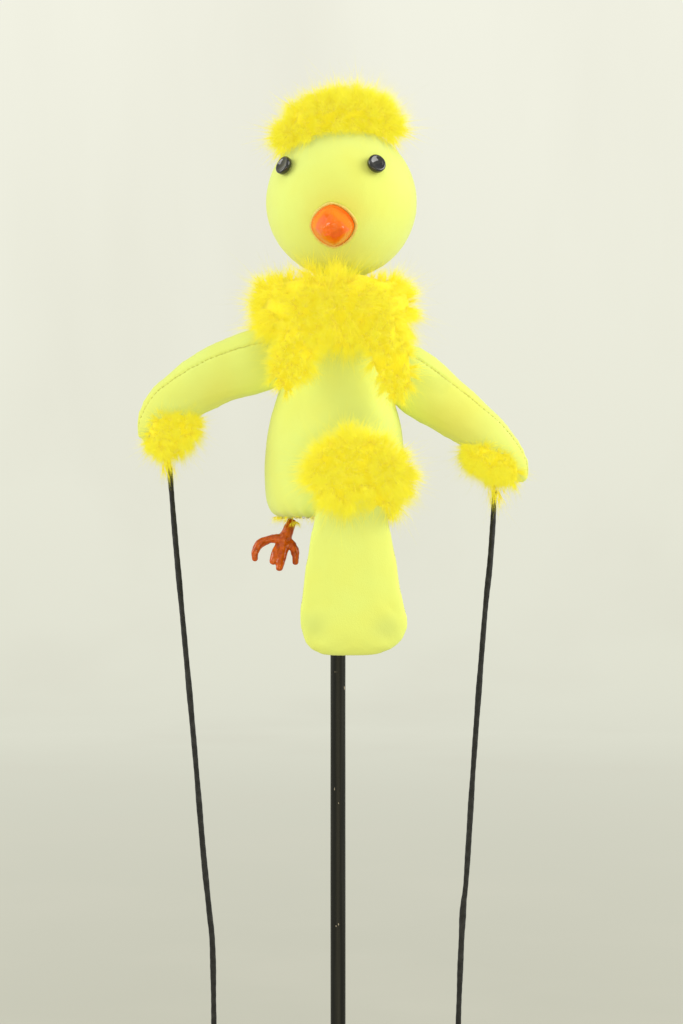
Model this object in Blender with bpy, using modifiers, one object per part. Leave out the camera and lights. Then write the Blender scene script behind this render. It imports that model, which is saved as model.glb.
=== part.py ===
"""Chick rod puppet: a bird of foam, jersey and marabou boa, worked with one main rod and two arm rods.

The head is fixed to the main rod. The torso turns on that rod on a sleeve with two bushes, and the wings,
the tail and the feet hang from the torso. Millimetres here, turned into metres by MM. +Z is up, the beak
looks towards -Y, and the origin is the centre of the main rod's lower end.
"""

import math

import bmesh
import bpy
from mathutils import Matrix, Vector

MM = 0.001
GAP = 0.35  # clearance between touching pieces
STEPS = 20  # sides of a large turned piece
HEAD_RINGS = 12
SMALL_STEPS = 14

# Main rod and what is pinned to it
ROD_R = 6.25
ROD_TOP = 880.0
COLLAR_R = 13.0
COLLAR_Z = (575.0, 585.0)
PIN_R = 1.5
WASHER_Z = (585.4, 587.4)

# Head
HEAD = Vector((2.9, 0.0, 862.0))
HEAD_R = 63.5
JERSEY = 1.2  # thickness of the covers
NECK_R = 11.6
NECK_TOP = 797.2
NECK_Z = 790.5
EYE_R = 7.2
EYE_H = 4.5
EYE_STEM_R = 1.4
EYE_STEM = 14.0
LEFT_EYE = Vector((-0.708, -0.601, 0.371))
RIGHT_EYE = Vector((0.426, -0.832, 0.358))
BEAK = Vector((-0.114, -0.899, -0.423))  # from the head's centre to the middle of the beak's base
BEAK_HALF = 17.5
BEAK_TIP = Vector((-0.7, -83.5, 829.5))
CREST_R = 13.0
CREST_DEPTH = 1.6  # front to back, for each millimetre up
CREST_ARC = (-44.0, 41.0)  # degrees from the top of the head, towards -X and +X

# Torso, turned about its own upright axis and narrowed front to back
TORSO_X = -2.5
TORSO_FLAT = 0.82
TORSO = (
    (16, 783), (20, 774), (28, 757), (40, 727), (50, 698), (56, 676), (59, 648), (58.6, 624), (56.6, 611),
    (52, 603.6), (44, 600),
)
SLEEVE_R = 10.0
SLEEVE_WALL = 2.0
SLEEVE_Z = (591.2, 785.6)
BUSH_BORE = ROD_R / math.cos(math.pi / SMALL_STEPS) + 0.12  # the rod's corners clear the bore's flats
BUSH_FLANGE = 3.0
BUSH_SPIGOT = 15.0
BOARD_R = 51.0
BOARD_Z = (609.0, 615.0)
BLOCK = ((-25.0, 21.0), (-14.0, 14.0), (722.0, 742.0))  # shoulder block, x, y and z
SCREW_DEPTH = 16.0  # how near the torso's middle the shoulder eyes' shanks reach
FOAM_TOP = 776.0

# Boa on the torso: a ring round the neck, its two ends, and the tail's puff, as points and a radius for each
NECK_BOA_Z = 783.0
NECK_BOA_R = (34.0, 13.5)  # of the ring, and of the boa
BOA_ENDS = (
    ((-16, -29, 778), (-26, -45, 750), (-32, -53, 722), (-34, -54, 704)),
    ((14, -29, 778), (28, -45, 748), (40, -51, 716), (44, -50, 694)),
)
BOA_END_R = (12, 12, 10.5, 5)
TAIL_BOA = (
    (-22, -58, 652), (-12, -63, 657), (4, -66, 660), (18, -67, 661), (34, -65, 660), (48, -58, 657),
    (57, -49, 652),
)
TAIL_BOA_R = (5, 9.5, 12, 12.5, 12, 9.5, 5)

# Wire rings and screw eyes
RING_R = 3.2  # to the middle of the wire
WIRE_R = 0.8
CROSS = 2 * WIRE_R + 0.3  # between the middles of two wires that hook through each other
LEG_RING_R = 2.6
LEG_WIRE_R = 0.7
LEG_CROSS = 2 * LEG_WIRE_R + 0.3
SHANK_R = 1.1

# Shoulders and wings: points along each wing's middle as x, z and half-width
SHOULDER = {"left": Vector((-44, 0, 737)), "right": Vector((48, 0, 728))}
WING_WAY = {"left": Vector((-0.98, 0, -0.2)), "right": Vector((0.87, 0, -0.49))}  # into the wing, from its root
WING_FLAT = 0.62  # thickness for each millimetre of width
WING = {
    "left": (
        (-58, 735.5, 21), (-75, 729.5, 23), (-100, 720.5, 20.4), (-123, 705.6, 18), (-141, 690, 16),
        (-150, 674, 15), (-155, 655, 13.5),
    ),
    "right": (
        (62, 720, 20), (74, 708.5, 21.5), (105, 681, 18), (127, 663, 16), (140, 648, 13.5),
        (147.5, 631, 11.5),
    ),
}
TIP_EYE = {"left": Vector((-141, 0, 657)), "right": Vector((129.7, 0, 633))}
CUFF = {"left": ((-143.5, 683.5), (-0.68, -0.73)), "right": ((130, 657), (0.66, -0.75))}
CUFF_HALF = 24.7  # from the wing's middle to the middle of the boa, across the wing
CUFF_R = 7.0
CUFF_FLAT = 0.78
TIP_SHANK = 18.5

# Control rods: points down each wire as x and z
CONTROL_R = 2.2
CONTROL = {
    "left": (
        (-139.4, 634.8), (-134.9, 580), (-127.4, 498.7), (-119.3, 409.9), (-112.1, 324.4),
        (-107.1, 274.6), (-104.3, 244.7), (-103.1, 180), (-101.6, 60),
    ),
    "right": (
        (128.4, 595), (125.8, 560.1), (122.5, 528.6), (117.4, 465.5), (111.9, 389.2), (106.4, 302),
        (103.3, 268.8), (99.7, 180), (96.8, 60),
    ),
}
HANDLE_R = 8.5
HANDLE_Z = (20.0, 120.0)

# Tail
TAIL_HINGE = Vector((11.6, -60.0, 631.0))
TAIL_THICK = 16.0
TAIL = (
    (-12, 627.4), (-20, 596), (-24, 572), (-28.8, 541), (-30, 521), (-27.5, 509.5), (-22, 501),
    (-13.5, 494.5), (-2, 491.4), (25, 491.4), (36.6, 495), (46, 501), (52, 509), (54.6, 519), (50.7, 541),
    (46.6, 569), (42.2, 592), (36, 627.4),
)
HINGE_WIRE_R = 1.2
HINGE_HALF = 28.0
LOOP_R = 3.2
LOOP_WIDTH = 10.0
LOOP_AT = (-14.0, 14.0)

# Feet: x of each pivot, and the toes as points from the pivot with a radius each
FOOT_X = {"left": -38.0, "right": 28.0}
LEG_EYE_Z = 604.9
RIGHT_FOOT_TURN = math.radians(75)
TOES = (
    ((0, 0, -3.2, 2.4), (-3, -1, -12, 3.4), (-6, -2, -20, 4.3)),
    (
        (-6, -2, -20.5, 3.2), (-17, -3, -20, 2.8), (-27, -4, -23.5, 2.8), (-30.5, -5, -31, 2.6),
        (-30.5, -5, -38.5, 1.8),
    ),
    ((-8, -3, -22, 3.2), (-13, -8, -30, 2.9), (-16, -11, -41, 2.0)),
    ((-6, -3, -23, 3.8), (-9, -10, -36, 3.3), (-10.6, -13, -46, 2.2)),
    ((-5, -2, -21.5, 3.2), (0, -3, -26, 2.8), (2.7, -5, -31.5, 2.7), (2.7, -6, -41.5, 1.8)),
)

for old in list(bpy.data.objects):
    bpy.data.objects.remove(old)
PARTS = bpy.data.collections.new("chick_rod_puppet")
CUTTERS = bpy.data.collections.new("cutters")
for group in (PARTS, CUTTERS):
    bpy.context.scene.collection.children.link(group)


# ---------------------------------------------------------------- materials


def finish(name, colour, roughness, metallic=0.0):
    """A Principled material of one plain finish."""
    made = bpy.data.materials.new(name)
    made.use_nodes = True
    shader = made.node_tree.nodes["Principled BSDF"]
    shader.inputs["Base Color"].default_value = (*colour, 1)
    shader.inputs["Roughness"].default_value = roughness
    shader.inputs["Metallic"].default_value = metallic
    return made


JERSEY_CLOTH = finish("jersey", (0.86, 0.90, 0.25), 0.85)
MARABOU = finish("marabou", (0.95, 0.74, 0.05), 0.95)
FOAM = finish("foam", (0.90, 0.86, 0.60), 0.95)
WOOD = finish("wood", (0.72, 0.52, 0.30), 0.7)
BLACK_PAINT = finish("black_paint", (0.02, 0.02, 0.022), 0.35)
BLACK_TAPE = finish("black_tape", (0.025, 0.025, 0.028), 0.6)
STEEL = finish("steel", (0.62, 0.62, 0.64), 0.3, 1.0)
PLASTIC = finish("sleeve_plastic", (0.80, 0.80, 0.78), 0.45)
EYE_BLACK = finish("eye_black", (0.01, 0.01, 0.012), 0.08)
BEAK_ORANGE = finish("beak_orange", (0.90, 0.22, 0.03), 0.18)
CLAY = finish("foot_clay", (0.62, 0.20, 0.05), 0.35)
THREAD = finish("thread", (0.80, 0.62, 0.10), 0.8)


# ---------------------------------------------------------------- building blocks


def metres(point):
    """A point in metres from one in millimetres."""
    return Vector(point) * MM


def add(name, mesh, material):
    """Puts a mesh in the model under its name."""
    mesh.materials.clear()
    mesh.materials.append(material)
    obj = bpy.data.objects.new(name, mesh)
    PARTS.objects.link(obj)
    return obj


def tidy(mesh):
    """Merges doubled points and turns every face outwards."""
    shape = bmesh.new()
    shape.from_mesh(mesh)
    bmesh.ops.remove_doubles(shape, verts=shape.verts, dist=0.00001)
    bmesh.ops.recalc_face_normals(shape, faces=shape.faces)
    shape.to_mesh(mesh)
    shape.free()
    return mesh


def smooth(obj, degrees=35):
    """Round pieces are shaded smooth, with their corners left sharp."""
    obj.data.shade_smooth()
    obj.data.set_sharp_from_angle(angle=math.radians(degrees))
    return obj


def taken_mesh(obj):
    """The mesh of an object with its modifiers or its bevel on; the object goes."""
    bpy.context.view_layer.update()
    depsgraph = bpy.context.evaluated_depsgraph_get()
    mesh = bpy.data.meshes.new_from_object(obj.evaluated_get(depsgraph))
    mesh.transform(obj.matrix_world)
    bpy.data.objects.remove(obj)
    return tidy(mesh)


def turned(profile, steps=SMALL_STEPS, closed=False):
    """A mesh turned about Z from (radius, height) points that run down its outer side."""
    mesh = bpy.data.meshes.new("profile")
    count = len(profile)
    edges = [(i, i + 1) for i in range(count - 1)] + ([(count - 1, 0)] if closed else [])
    mesh.from_pydata([(r * MM, 0, z * MM) for r, z in profile], edges, [])
    obj = bpy.data.objects.new("profile", mesh)
    PARTS.objects.link(obj)
    screw = obj.modifiers.new("screw", "SCREW")
    screw.steps = screw.render_steps = steps
    screw.use_merge_vertices = True
    screw.merge_threshold = 0.00005
    return taken_mesh(obj)


def hollow_turned(outer, inner, top, bottom, steps=SMALL_STEPS, chamfer=0.4):
    """A plain tube or washer with its outer corners eased."""
    profile = (
        (inner, top), (outer - chamfer, top), (outer, top - chamfer), (outer, bottom + chamfer),
        (outer - chamfer, bottom), (inner, bottom),
    )
    return turned(profile, steps, closed=True)


def cylinder(start, end, radius, steps=SMALL_STEPS):
    """A cylinder mesh between two points, in millimetres."""
    start, end = metres(start), metres(end)
    shape = bmesh.new()
    bmesh.ops.create_cone(
        shape, cap_ends=True, segments=steps, radius1=radius * MM, radius2=radius * MM, depth=(end - start).length
    )
    turn = (end - start).to_track_quat("Z", "Y").to_matrix().to_4x4()
    bmesh.ops.transform(shape, verts=shape.verts, matrix=Matrix.Translation((start + end) / 2) @ turn)
    mesh = bpy.data.meshes.new("cylinder")
    shape.to_mesh(mesh)
    shape.free()
    return mesh


def box(x, y, z):
    """A box mesh between two limits on each axis, in millimetres."""
    shape = bmesh.new()
    bmesh.ops.create_cube(shape, size=1)
    size = Matrix.Diagonal([(high - low) * MM for low, high in (x, y, z)] + [1])
    middle = Matrix.Translation([(high + low) / 2 * MM for low, high in (x, y, z)])
    bmesh.ops.transform(shape, verts=shape.verts, matrix=middle @ size)
    mesh = bpy.data.meshes.new("box")
    shape.to_mesh(mesh)
    shape.free()
    return mesh


def ball(centre, radius, rings=HEAD_RINGS, steps=STEPS):
    """A sphere mesh with its poles up and down."""
    shape = bmesh.new()
    bmesh.ops.create_uvsphere(shape, u_segments=steps, v_segments=rings, radius=radius * MM)
    bmesh.ops.translate(shape, verts=shape.verts, vec=metres(centre))
    mesh = bpy.data.meshes.new("ball")
    shape.to_mesh(mesh)
    shape.free()
    return mesh


def tube(points, radii, closed=False, resolution=2):
    """A mesh swept along points, in millimetres, with a radius for each."""
    curve = bpy.data.curves.new("tube", "CURVE")
    curve.dimensions = "3D"
    curve.bevel_depth = MM
    curve.bevel_resolution = resolution
    curve.use_fill_caps = not closed
    spline = curve.splines.new("POLY")
    spline.points.add(len(points) - 1)
    for spot, place, radius in zip(spline.points, points, radii, strict=True):
        spot.co = (*metres(place), 1)
        spot.radius = radius
    spline.use_cyclic_u = closed
    obj = bpy.data.objects.new("tube", curve)
    PARTS.objects.link(obj)
    return taken_mesh(obj)


def wire_ring(centre, axis, radius=RING_R, wire=WIRE_R, around=12, sides=5):
    """A closed ring of wire about an axis."""
    turn = [-math.tau * i / sides for i in range(sides)]
    mesh = turned([(radius + wire * math.cos(a), wire * math.sin(a)) for a in turn], around, closed=True)
    mesh.transform(Matrix.Translation(metres(centre)) @ Vector(axis).to_track_quat("Z", "Y").to_matrix().to_4x4())
    return mesh


def helper(mesh):
    """An object that only cuts or joins: it isn't part of the puppet."""
    obj = bpy.data.objects.new("cutter", mesh)
    obj.display_type = "WIRE"
    obj.hide_render = True
    CUTTERS.objects.link(obj)
    return obj


def combine(obj, operation, *meshes):
    """Cuts meshes from an object, or joins them to it."""
    for mesh in meshes:
        step = obj.modifiers.new(operation.lower(), "BOOLEAN")
        step.operation = operation
        step.solver = "EXACT"
        step.object = helper(mesh)
    return obj


def screw_eye(name, centre, axis, towards, length, radius=RING_R, wire=WIRE_R):
    """A ring about axis with a shank that leaves it along towards."""
    towards = Vector(towards)
    eye = add(name, wire_ring(centre, axis, radius, wire), STEEL)
    start = Vector(centre) + towards * radius
    return combine(eye, "UNION", cylinder(start, start + towards * length, SHANK_R, 8))


def hold(name, pivot, parent, *objects):
    """Hangs objects from an empty on their joint, where they already are."""
    empty = bpy.data.objects.new(name, None)
    empty.empty_display_size = 0.02
    PARTS.objects.link(empty)
    empty.location = metres(pivot)
    bpy.context.view_layer.update()
    if parent:
        empty.parent = parent
        empty.matrix_parent_inverse = parent.matrix_world.inverted()
        bpy.context.view_layer.update()
    for obj in objects:
        obj.parent = empty
        obj.matrix_parent_inverse = empty.matrix_world.inverted()
    return empty


# ---------------------------------------------------------------- main rod


def main_rod():
    """The wooden rod, with the cross hole of its stop collar."""
    rod = add("main_rod", turned(((0, ROD_TOP), (ROD_R - 1, ROD_TOP), (ROD_R, ROD_TOP - 1), (ROD_R, 0.8),
                                  (ROD_R - 0.8, 0), (0, 0))), BLACK_PAINT)
    return smooth(combine(rod, "DIFFERENCE", pin_hole()))


def pin_hole():
    """The hole that the collar's pin goes through."""
    middle = sum(COLLAR_Z) / 2
    return cylinder((-COLLAR_R - 5, 0, middle), (COLLAR_R + 5, 0, middle), PIN_R + GAP, 12)


def collar():
    """The stop collar under the torso, its cross pin and the washer on it."""
    middle = sum(COLLAR_Z) / 2
    ring = add("rod_collar", hollow_turned(COLLAR_R, ROD_R + GAP, COLLAR_Z[1], COLLAR_Z[0], chamfer=1.5), WOOD)
    combine(ring, "DIFFERENCE", pin_hole())
    pin = add("collar_pin", cylinder((-COLLAR_R - 1.5, 0, middle), (COLLAR_R + 1.5, 0, middle), PIN_R, 12), STEEL)
    washer = add("thrust_washer", hollow_turned(12.0, ROD_R + GAP, WASHER_Z[1], WASHER_Z[0], chamfer=0.3), STEEL)
    return [smooth(ring), smooth(pin), smooth(washer)]


# ---------------------------------------------------------------- head


def head_ball():
    """The foam ball, bored for the rod, the eyes' stems and the beak's peg."""
    core = add("head_core", ball(HEAD, HEAD_R - JERSEY - 0.8), FOAM)
    bore = cylinder((0, 0, HEAD.z - HEAD_R - 5), (0, 0, ROD_TOP + GAP), ROD_R + GAP)
    return smooth(combine(core, "DIFFERENCE", bore, *face_holes()))


def face_holes():
    """Holes under the eyes, and under the beak for its peg."""
    holes = []
    for way in (LEFT_EYE, RIGHT_EYE):
        way = way.normalized()
        start, end = HEAD + way * (HEAD_R - EYE_STEM - 1), HEAD + way * (HEAD_R + 6)
        holes.append(cylinder(start, end, EYE_STEM_R + GAP, 10))
    way = BEAK.normalized()
    holes.append(cylinder(HEAD + way * (HEAD_R - 16), HEAD + way * (HEAD_R + 4), 3 + GAP, 10))
    return holes


def head_cover():
    """The jersey skin: round the ball and gathered to a short neck round the rod."""
    angles = [math.pi * i / HEAD_RINGS for i in range(HEAD_RINGS)]
    round_part = [(HEAD_R * math.sin(a), HEAD_R * math.cos(a)) for a in angles]
    neck = [(NECK_R, NECK_TOP - HEAD.z), (NECK_R, NECK_Z - HEAD.z)]
    mesh = turned([p for p in round_part if p[1] > 0 or p[0] > NECK_R + 2] + neck, STEPS)
    mesh.transform(Matrix.Translation(metres(HEAD)))
    skin = add("head_cover", mesh, JERSEY_CLOTH)
    wall = skin.modifiers.new("wall", "SOLIDIFY")
    wall.thickness = JERSEY * MM
    wall.offset = -1
    return smooth(combine(skin, "DIFFERENCE", *face_holes()))


def neck_tie():
    """The elastic thread that gathers the head's cover."""
    ring = wire_ring((HEAD.x, 0, 794.5), (0, 0, 1), NECK_R + 1.8, 1.4, STEPS, 6)
    return smooth(add("neck_tie", ring, THREAD), 80)


def eye(name, way):
    """A glossy flat-topped button on a stem."""
    way = way.normalized()
    profile = (
        (0, EYE_H), (EYE_R - 1.6, EYE_H), (EYE_R - 0.5, EYE_H - 0.5), (EYE_R, EYE_H - 1.6), (EYE_R, 0.9),
        (EYE_R - 0.7, 0), (EYE_STEM_R, 0), (EYE_STEM_R, -EYE_STEM), (0, -EYE_STEM - 0.5),
    )
    button = add(name, turned(profile, 18), EYE_BLACK)
    seat = HEAD + way * (HEAD_R + GAP)
    button.matrix_world = Matrix.Translation(metres(seat)) @ way.to_track_quat("Z", "Y").to_matrix().to_4x4()
    return smooth(button)


def beak_axes():
    """The beak's seat on the head, and its sideways, upward and outward directions."""
    out = BEAK.normalized()
    side = Vector((0, 0, 1)).cross(out).normalized()
    return HEAD + out * HEAD_R, side, out.cross(side), out


def beak():
    """A four-sided moulded point whose back is hollowed to the ball, with a peg."""
    seat, side, up, out = beak_axes()
    frame = Matrix((side, up, out)).transposed().to_4x4()
    tip = frame.inverted() @ (BEAK_TIP - seat)
    shape = bmesh.new()
    bmesh.ops.create_cone(
        shape, cap_ends=True, segments=4, radius1=(BEAK_HALF + 2.5) * MM, radius2=5 * MM, depth=(tip.z + 4) * MM
    )
    top = [v for v in shape.verts if v.co.z > 0]
    bmesh.ops.translate(shape, verts=shape.verts, vec=(0, 0, (tip.z - 4) / 2 * MM))
    bmesh.ops.translate(shape, verts=top, vec=(tip.x * MM, tip.y * MM, 0))
    bmesh.ops.bevel(
        shape, geom=[e for e in shape.edges if abs(e.verts[0].co.z - e.verts[1].co.z) > 0.001] + top
        + [e for e in shape.edges if all(v in top for v in e.verts)],
        offset=3.4 * MM, segments=2, affect="EDGES", profile=0.5,
    )
    bmesh.ops.transform(shape, verts=shape.verts, matrix=Matrix.Translation(metres(seat)) @ frame)
    mesh = bpy.data.meshes.new("beak")
    shape.to_mesh(mesh)
    shape.free()
    point = add("beak", tidy(mesh), BEAK_ORANGE)
    combine(point, "DIFFERENCE", ball(HEAD, HEAD_R + GAP + 0.15, 24, 36))
    combine(point, "UNION", cylinder(seat - out * 14, seat + out * 4, 3, 10))
    return smooth(point, 25)


def beak_rim():
    """The bead of glue and cloth round the beak's base, a rounded diamond laid on the ball."""
    _, side, up, out = beak_axes()
    points = []
    for step in range(24):
        turn = math.tau * step / 24
        power = 1.5
        reach = (BEAK_HALF + 3.4) / (abs(math.cos(turn)) ** power + abs(math.sin(turn)) ** power) ** (1 / power)
        way = (out * HEAD_R + (side * math.cos(turn) + up * math.sin(turn)) * reach).normalized()
        points.append(HEAD + way * (HEAD_R + 1.4))
    return smooth(add("beak_rim", tube(points, [1.0] * len(points), closed=True, resolution=1), THREAD), 80)


def crest():
    """The puff of boa over the top of the head."""
    bend = HEAD_R + 1.2 + CREST_R
    count = 11
    points, radii = [], []
    for step in range(count):
        share = step / (count - 1)
        turn = math.radians(CREST_ARC[0] + share * (CREST_ARC[1] - CREST_ARC[0]))
        points.append((HEAD.x + bend * math.sin(turn), 0, HEAD.z + bend * math.cos(turn)))
        radii.append(CREST_R * max(0.35, math.sin(math.pi * share) ** 0.35))
    mesh = tube(points, radii, resolution=4)
    mesh.transform(Matrix.Diagonal((1, CREST_DEPTH, 1, 1)))
    return smooth(add("crest_boa", mesh, MARABOU), 80)


# ---------------------------------------------------------------- torso


def flattened(mesh):
    """Moves a turned torso piece to the torso's own axis and narrows it front to back."""
    mesh.transform(Matrix.Translation((TORSO_X * MM, 0, 0)) @ Matrix.Diagonal((1, TORSO_FLAT, 1, 1)))
    return mesh


def torso_radius(height, inset=0.0):
    """The torso's half-width at a height, less an inset."""
    for (r0, z0), (r1, z1) in zip(TORSO, TORSO[1:]):
        if z1 <= height <= z0:
            return r0 + (r1 - r0) * (z0 - height) / (z0 - z1) - inset
    return TORSO[0][0] - inset


def sleeve_and_bushes():
    """The tube that the torso is built on, and the two bushes that turn on the rod."""
    low, high = SLEEVE_Z
    inner = SLEEVE_R - SLEEVE_WALL
    sleeve = add("sleeve_tube", hollow_turned(SLEEVE_R, inner, high, low), PLASTIC)
    spigot = inner - GAP
    flange = SLEEVE_R + 1.5

    def bush(name, edge, way):
        """A flanged bush whose flange sits past an end of the sleeve."""
        face = edge + way * GAP
        outline = [
            (BUSH_BORE, face + way * BUSH_FLANGE), (flange, face + way * BUSH_FLANGE), (flange, face),
            (spigot, face), (spigot, face - way * BUSH_SPIGOT), (BUSH_BORE, face - way * BUSH_SPIGOT),
        ]
        return smooth(add(name, turned(outline, closed=True), PLASTIC))

    return [smooth(sleeve), bush("upper_bush", high, 1), bush("lower_bush", low, -1)]


def base_board():
    """The plywood oval that closes the torso and carries the feet."""
    low, high = BOARD_Z
    profile = ((0, high), (BOARD_R, high), (BOARD_R, low), (0, low))
    board = add("base_board", flattened(turned(profile, STEPS)), WOOD)
    holes = [cylinder((0, 0, low - 1), (0, 0, high + 1), SLEEVE_R + GAP)]
    holes += [cylinder((x, 0, low - 1), (x, 0, high - 1), SHANK_R + GAP, 8) for x in FOOT_X.values()]
    return smooth(combine(board, "DIFFERENCE", *holes))


def shoulder_block():
    """The pine block on the sleeve that the wings hook into."""
    block = add("shoulder_block", box(*BLOCK), WOOD)
    sleeve = cylinder((0, 0, BLOCK[2][0] - 1), (0, 0, BLOCK[2][1] + 1), SLEEVE_R + GAP)
    return combine(block, "DIFFERENCE", sleeve, *shoulder_holes())


def shoulder_holes():
    """Sideways holes for the shanks of the shoulder eyes."""
    return [
        cylinder(spot, (math.copysign(SCREW_DEPTH - 1, spot.x), 0, spot.z), SHANK_R + GAP, 8)
        for spot in SHOULDER.values()
    ]


def hinge_holes():
    """Holes in the torso for the two legs of the tail's hinge wire."""
    return [
        cylinder(
            TAIL_HINGE + Vector((side * HINGE_HALF, 0, 0)), TAIL_HINGE + Vector((side * HINGE_HALF, 42, 0)),
            HINGE_WIRE_R + GAP, 10,
        )
        for side in (-1, 1)
    ]


def torso_foam():
    """The foam body, cut out for the sleeve, the shoulder block, the eyes and the hinge wire."""
    inset = JERSEY + 0.6
    bottom = BOARD_Z[1] + GAP
    rows = [(r - inset, z) for r, z in TORSO if bottom + 2 < z < FOAM_TOP - 2]
    profile = [(0, FOAM_TOP), (torso_radius(FOAM_TOP, inset), FOAM_TOP), *rows,
               (torso_radius(bottom, inset), bottom), (0, bottom)]
    foam = add("torso_foam", flattened(turned(profile, STEPS)), FOAM)
    sleeve = cylinder((0, 0, bottom - 5), (0, 0, FOAM_TOP + 5), SLEEVE_R + GAP)
    pocket = box(*[(low - GAP, high + GAP) for low, high in BLOCK])
    return smooth(combine(foam, "DIFFERENCE", sleeve, pocket, *shoulder_holes(), *hinge_holes()))


def torso_cover():
    """The jersey skin of the body, turned in under the base board."""
    skin = add("torso_cover", flattened(turned(TORSO, STEPS)), JERSEY_CLOTH)
    wall = skin.modifiers.new("wall", "SOLIDIFY")
    wall.thickness = JERSEY * MM
    wall.offset = -1
    return smooth(combine(skin, "DIFFERENCE", *shoulder_holes(), *hinge_holes()))


def neck_boa():
    """The boa round the neck, with its two ends hanging in front."""
    ring = add("neck_boa", wire_ring((TORSO_X, 0, NECK_BOA_Z), (0, 0, 1), *NECK_BOA_R, 18, 8), MARABOU)
    return smooth(combine(ring, "UNION", *[tube(path, BOA_END_R) for path in BOA_ENDS]), 80)


def tail_boa():
    """The puff of boa above the tail's hinge."""
    return smooth(add("tail_boa", tube(TAIL_BOA, TAIL_BOA_R, resolution=3), MARABOU), 80)


def torso_eyes():
    """The screw eyes of the shoulders and the feet."""
    eyes = []
    for side, way in (("left", 1), ("right", -1)):
        length = abs(SHOULDER[side].x) - RING_R - SCREW_DEPTH
        eyes.append(screw_eye(side + "_shoulder_eye", SHOULDER[side], (0, 1, 0), (way, 0, 0), length))
        spot = (FOOT_X[side], 0, LEG_EYE_Z)
        eyes.append(screw_eye(side + "_leg_eye", spot, (0, 1, 0), (0, 0, 1), 6.5, LEG_RING_R, LEG_WIRE_R))
    return [smooth(made, 60) for made in eyes]


def hinge_wire():
    """The wire staple that the tail's loops turn on."""
    bend, leg = 3.0, 38.0
    half = ((HINGE_HALF, leg), (HINGE_HALF, bend), (HINGE_HALF - bend, 0))
    points = [TAIL_HINGE + Vector((-x, y, 0)) for x, y in half]
    points += [TAIL_HINGE + Vector((x, y, 0)) for x, y in reversed(half)]
    return smooth(add("tail_hinge_wire", tube(points, [HINGE_WIRE_R] * 6), STEEL), 80)


# ---------------------------------------------------------------- tail


def flap(inset, rim):
    """The tail's outline as a padded plate, drawn in by an inset."""
    middle_x = sum(x for x, _ in TAIL) / len(TAIL)
    low, high = min(z for _, z in TAIL), max(z for _, z in TAIL)
    half = (max(x for x, _ in TAIL) - min(x for x, _ in TAIL)) / 2
    curve = bpy.data.curves.new("flap", "CURVE")
    curve.dimensions = "2D"
    curve.fill_mode = "BOTH"
    curve.extrude = (TAIL_THICK / 2 - inset) * MM
    spline = curve.splines.new("POLY")
    spline.points.add(len(TAIL) - 1)
    for spot, (x, z) in zip(spline.points, TAIL, strict=True):
        flat_x = middle_x + (x - middle_x) * (1 - inset / half)
        flat_z = high - (high - z) * (1 - inset / (high - low))
        spot.co = (flat_x * MM, flat_z * MM, 0, 1)
    spline.use_cyclic_u = True
    obj = bpy.data.objects.new("flap", curve)
    obj.matrix_world = Matrix.Translation((0, TAIL_HINGE.y * MM, 0)) @ Matrix.Rotation(math.pi / 2, 4, "X")
    PARTS.objects.link(obj)
    mesh = taken_mesh(obj)
    shape = bmesh.new()
    shape.from_mesh(mesh)
    bmesh.ops.dissolve_limit(shape, angle_limit=0.02, verts=shape.verts, edges=shape.edges)
    rims = [e for e in shape.edges if abs(e.verts[0].co.y - e.verts[1].co.y) < 0.0001
            and min(v.co.z for v in e.verts) < (high - 2) * MM]
    bmesh.ops.bevel(shape, geom=rims, offset=rim * MM, segments=3, affect="EDGES", profile=0.5)
    shape.to_mesh(mesh)
    shape.free()
    return tidy(mesh)


def tail_pieces():
    """The foam flap, its jersey cover, and the tape loops on the hinge wire."""
    core = add("tail_core", flap(JERSEY + 0.45, 4.6), FOAM)
    slots = [
        box((TAIL_HINGE.x + x - LOOP_WIDTH / 2 - GAP, TAIL_HINGE.x + x + LOOP_WIDTH / 2 + GAP),
            (TAIL_HINGE.y - 0.95, TAIL_HINGE.y + 0.95), (615, 640))
        for x in LOOP_AT
    ]
    combine(core, "DIFFERENCE", box((-80, 80), (-80, -40), (626.6, 640)), *slots)
    cover = add("tail_cover", flap(0, 6.0), JERSEY_CLOTH)
    inner = flap(JERSEY, 4.9)
    throat = box((-11, 35), (TAIL_HINGE.y - 6.2, TAIL_HINGE.y + 6.2), (624, 640))
    combine(cover, "DIFFERENCE", inner, throat)
    loops = []
    for name, x in zip(("left_tail_loop", "right_tail_loop"), LOOP_AT, strict=True):
        start = TAIL_HINGE + Vector((x - LOOP_WIDTH / 2, 0, 0))
        end = TAIL_HINGE + Vector((x + LOOP_WIDTH / 2, 0, 0))
        loop = add(name, cylinder(start, end, LOOP_R, 12), THREAD)
        tab = box((start.x, end.x), (TAIL_HINGE.y - 0.6, TAIL_HINGE.y + 0.6), (616, 629))
        bore = cylinder(start - Vector((1, 0, 0)), end + Vector((1, 0, 0)), HINGE_WIRE_R + GAP, 12)
        combine(loop, "UNION", tab)
        loops.append(smooth(combine(loop, "DIFFERENCE", bore)))
    return [core, smooth(cover), *loops]


# ---------------------------------------------------------------- feet


def foot(side):
    """A modelled clay foot with four toes, on a ring that hooks into its screw eye."""
    x = FOOT_X[side]
    pivot = Vector((x, 0, LEG_EYE_Z - LEG_RING_R))
    ring = Vector((x, 0, pivot.z + LEG_CROSS - LEG_RING_R))
    turn = Matrix.Identity(3)
    if side == "right":
        turn = Matrix.Rotation(RIGHT_FOOT_TURN, 3, "Z") @ Matrix.Diagonal((-1, 1, 1))
    rolls = [tube([pivot + turn @ Vector(p[:3]) for p in toe], [p[3] for p in toe]) for toe in TOES]
    made = add(side + "_foot", wire_ring(ring, (1, 0, 0), LEG_RING_R, LEG_WIRE_R), CLAY)
    combine(made, "UNION", *rolls)
    return pivot, smooth(made, 70)


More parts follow.
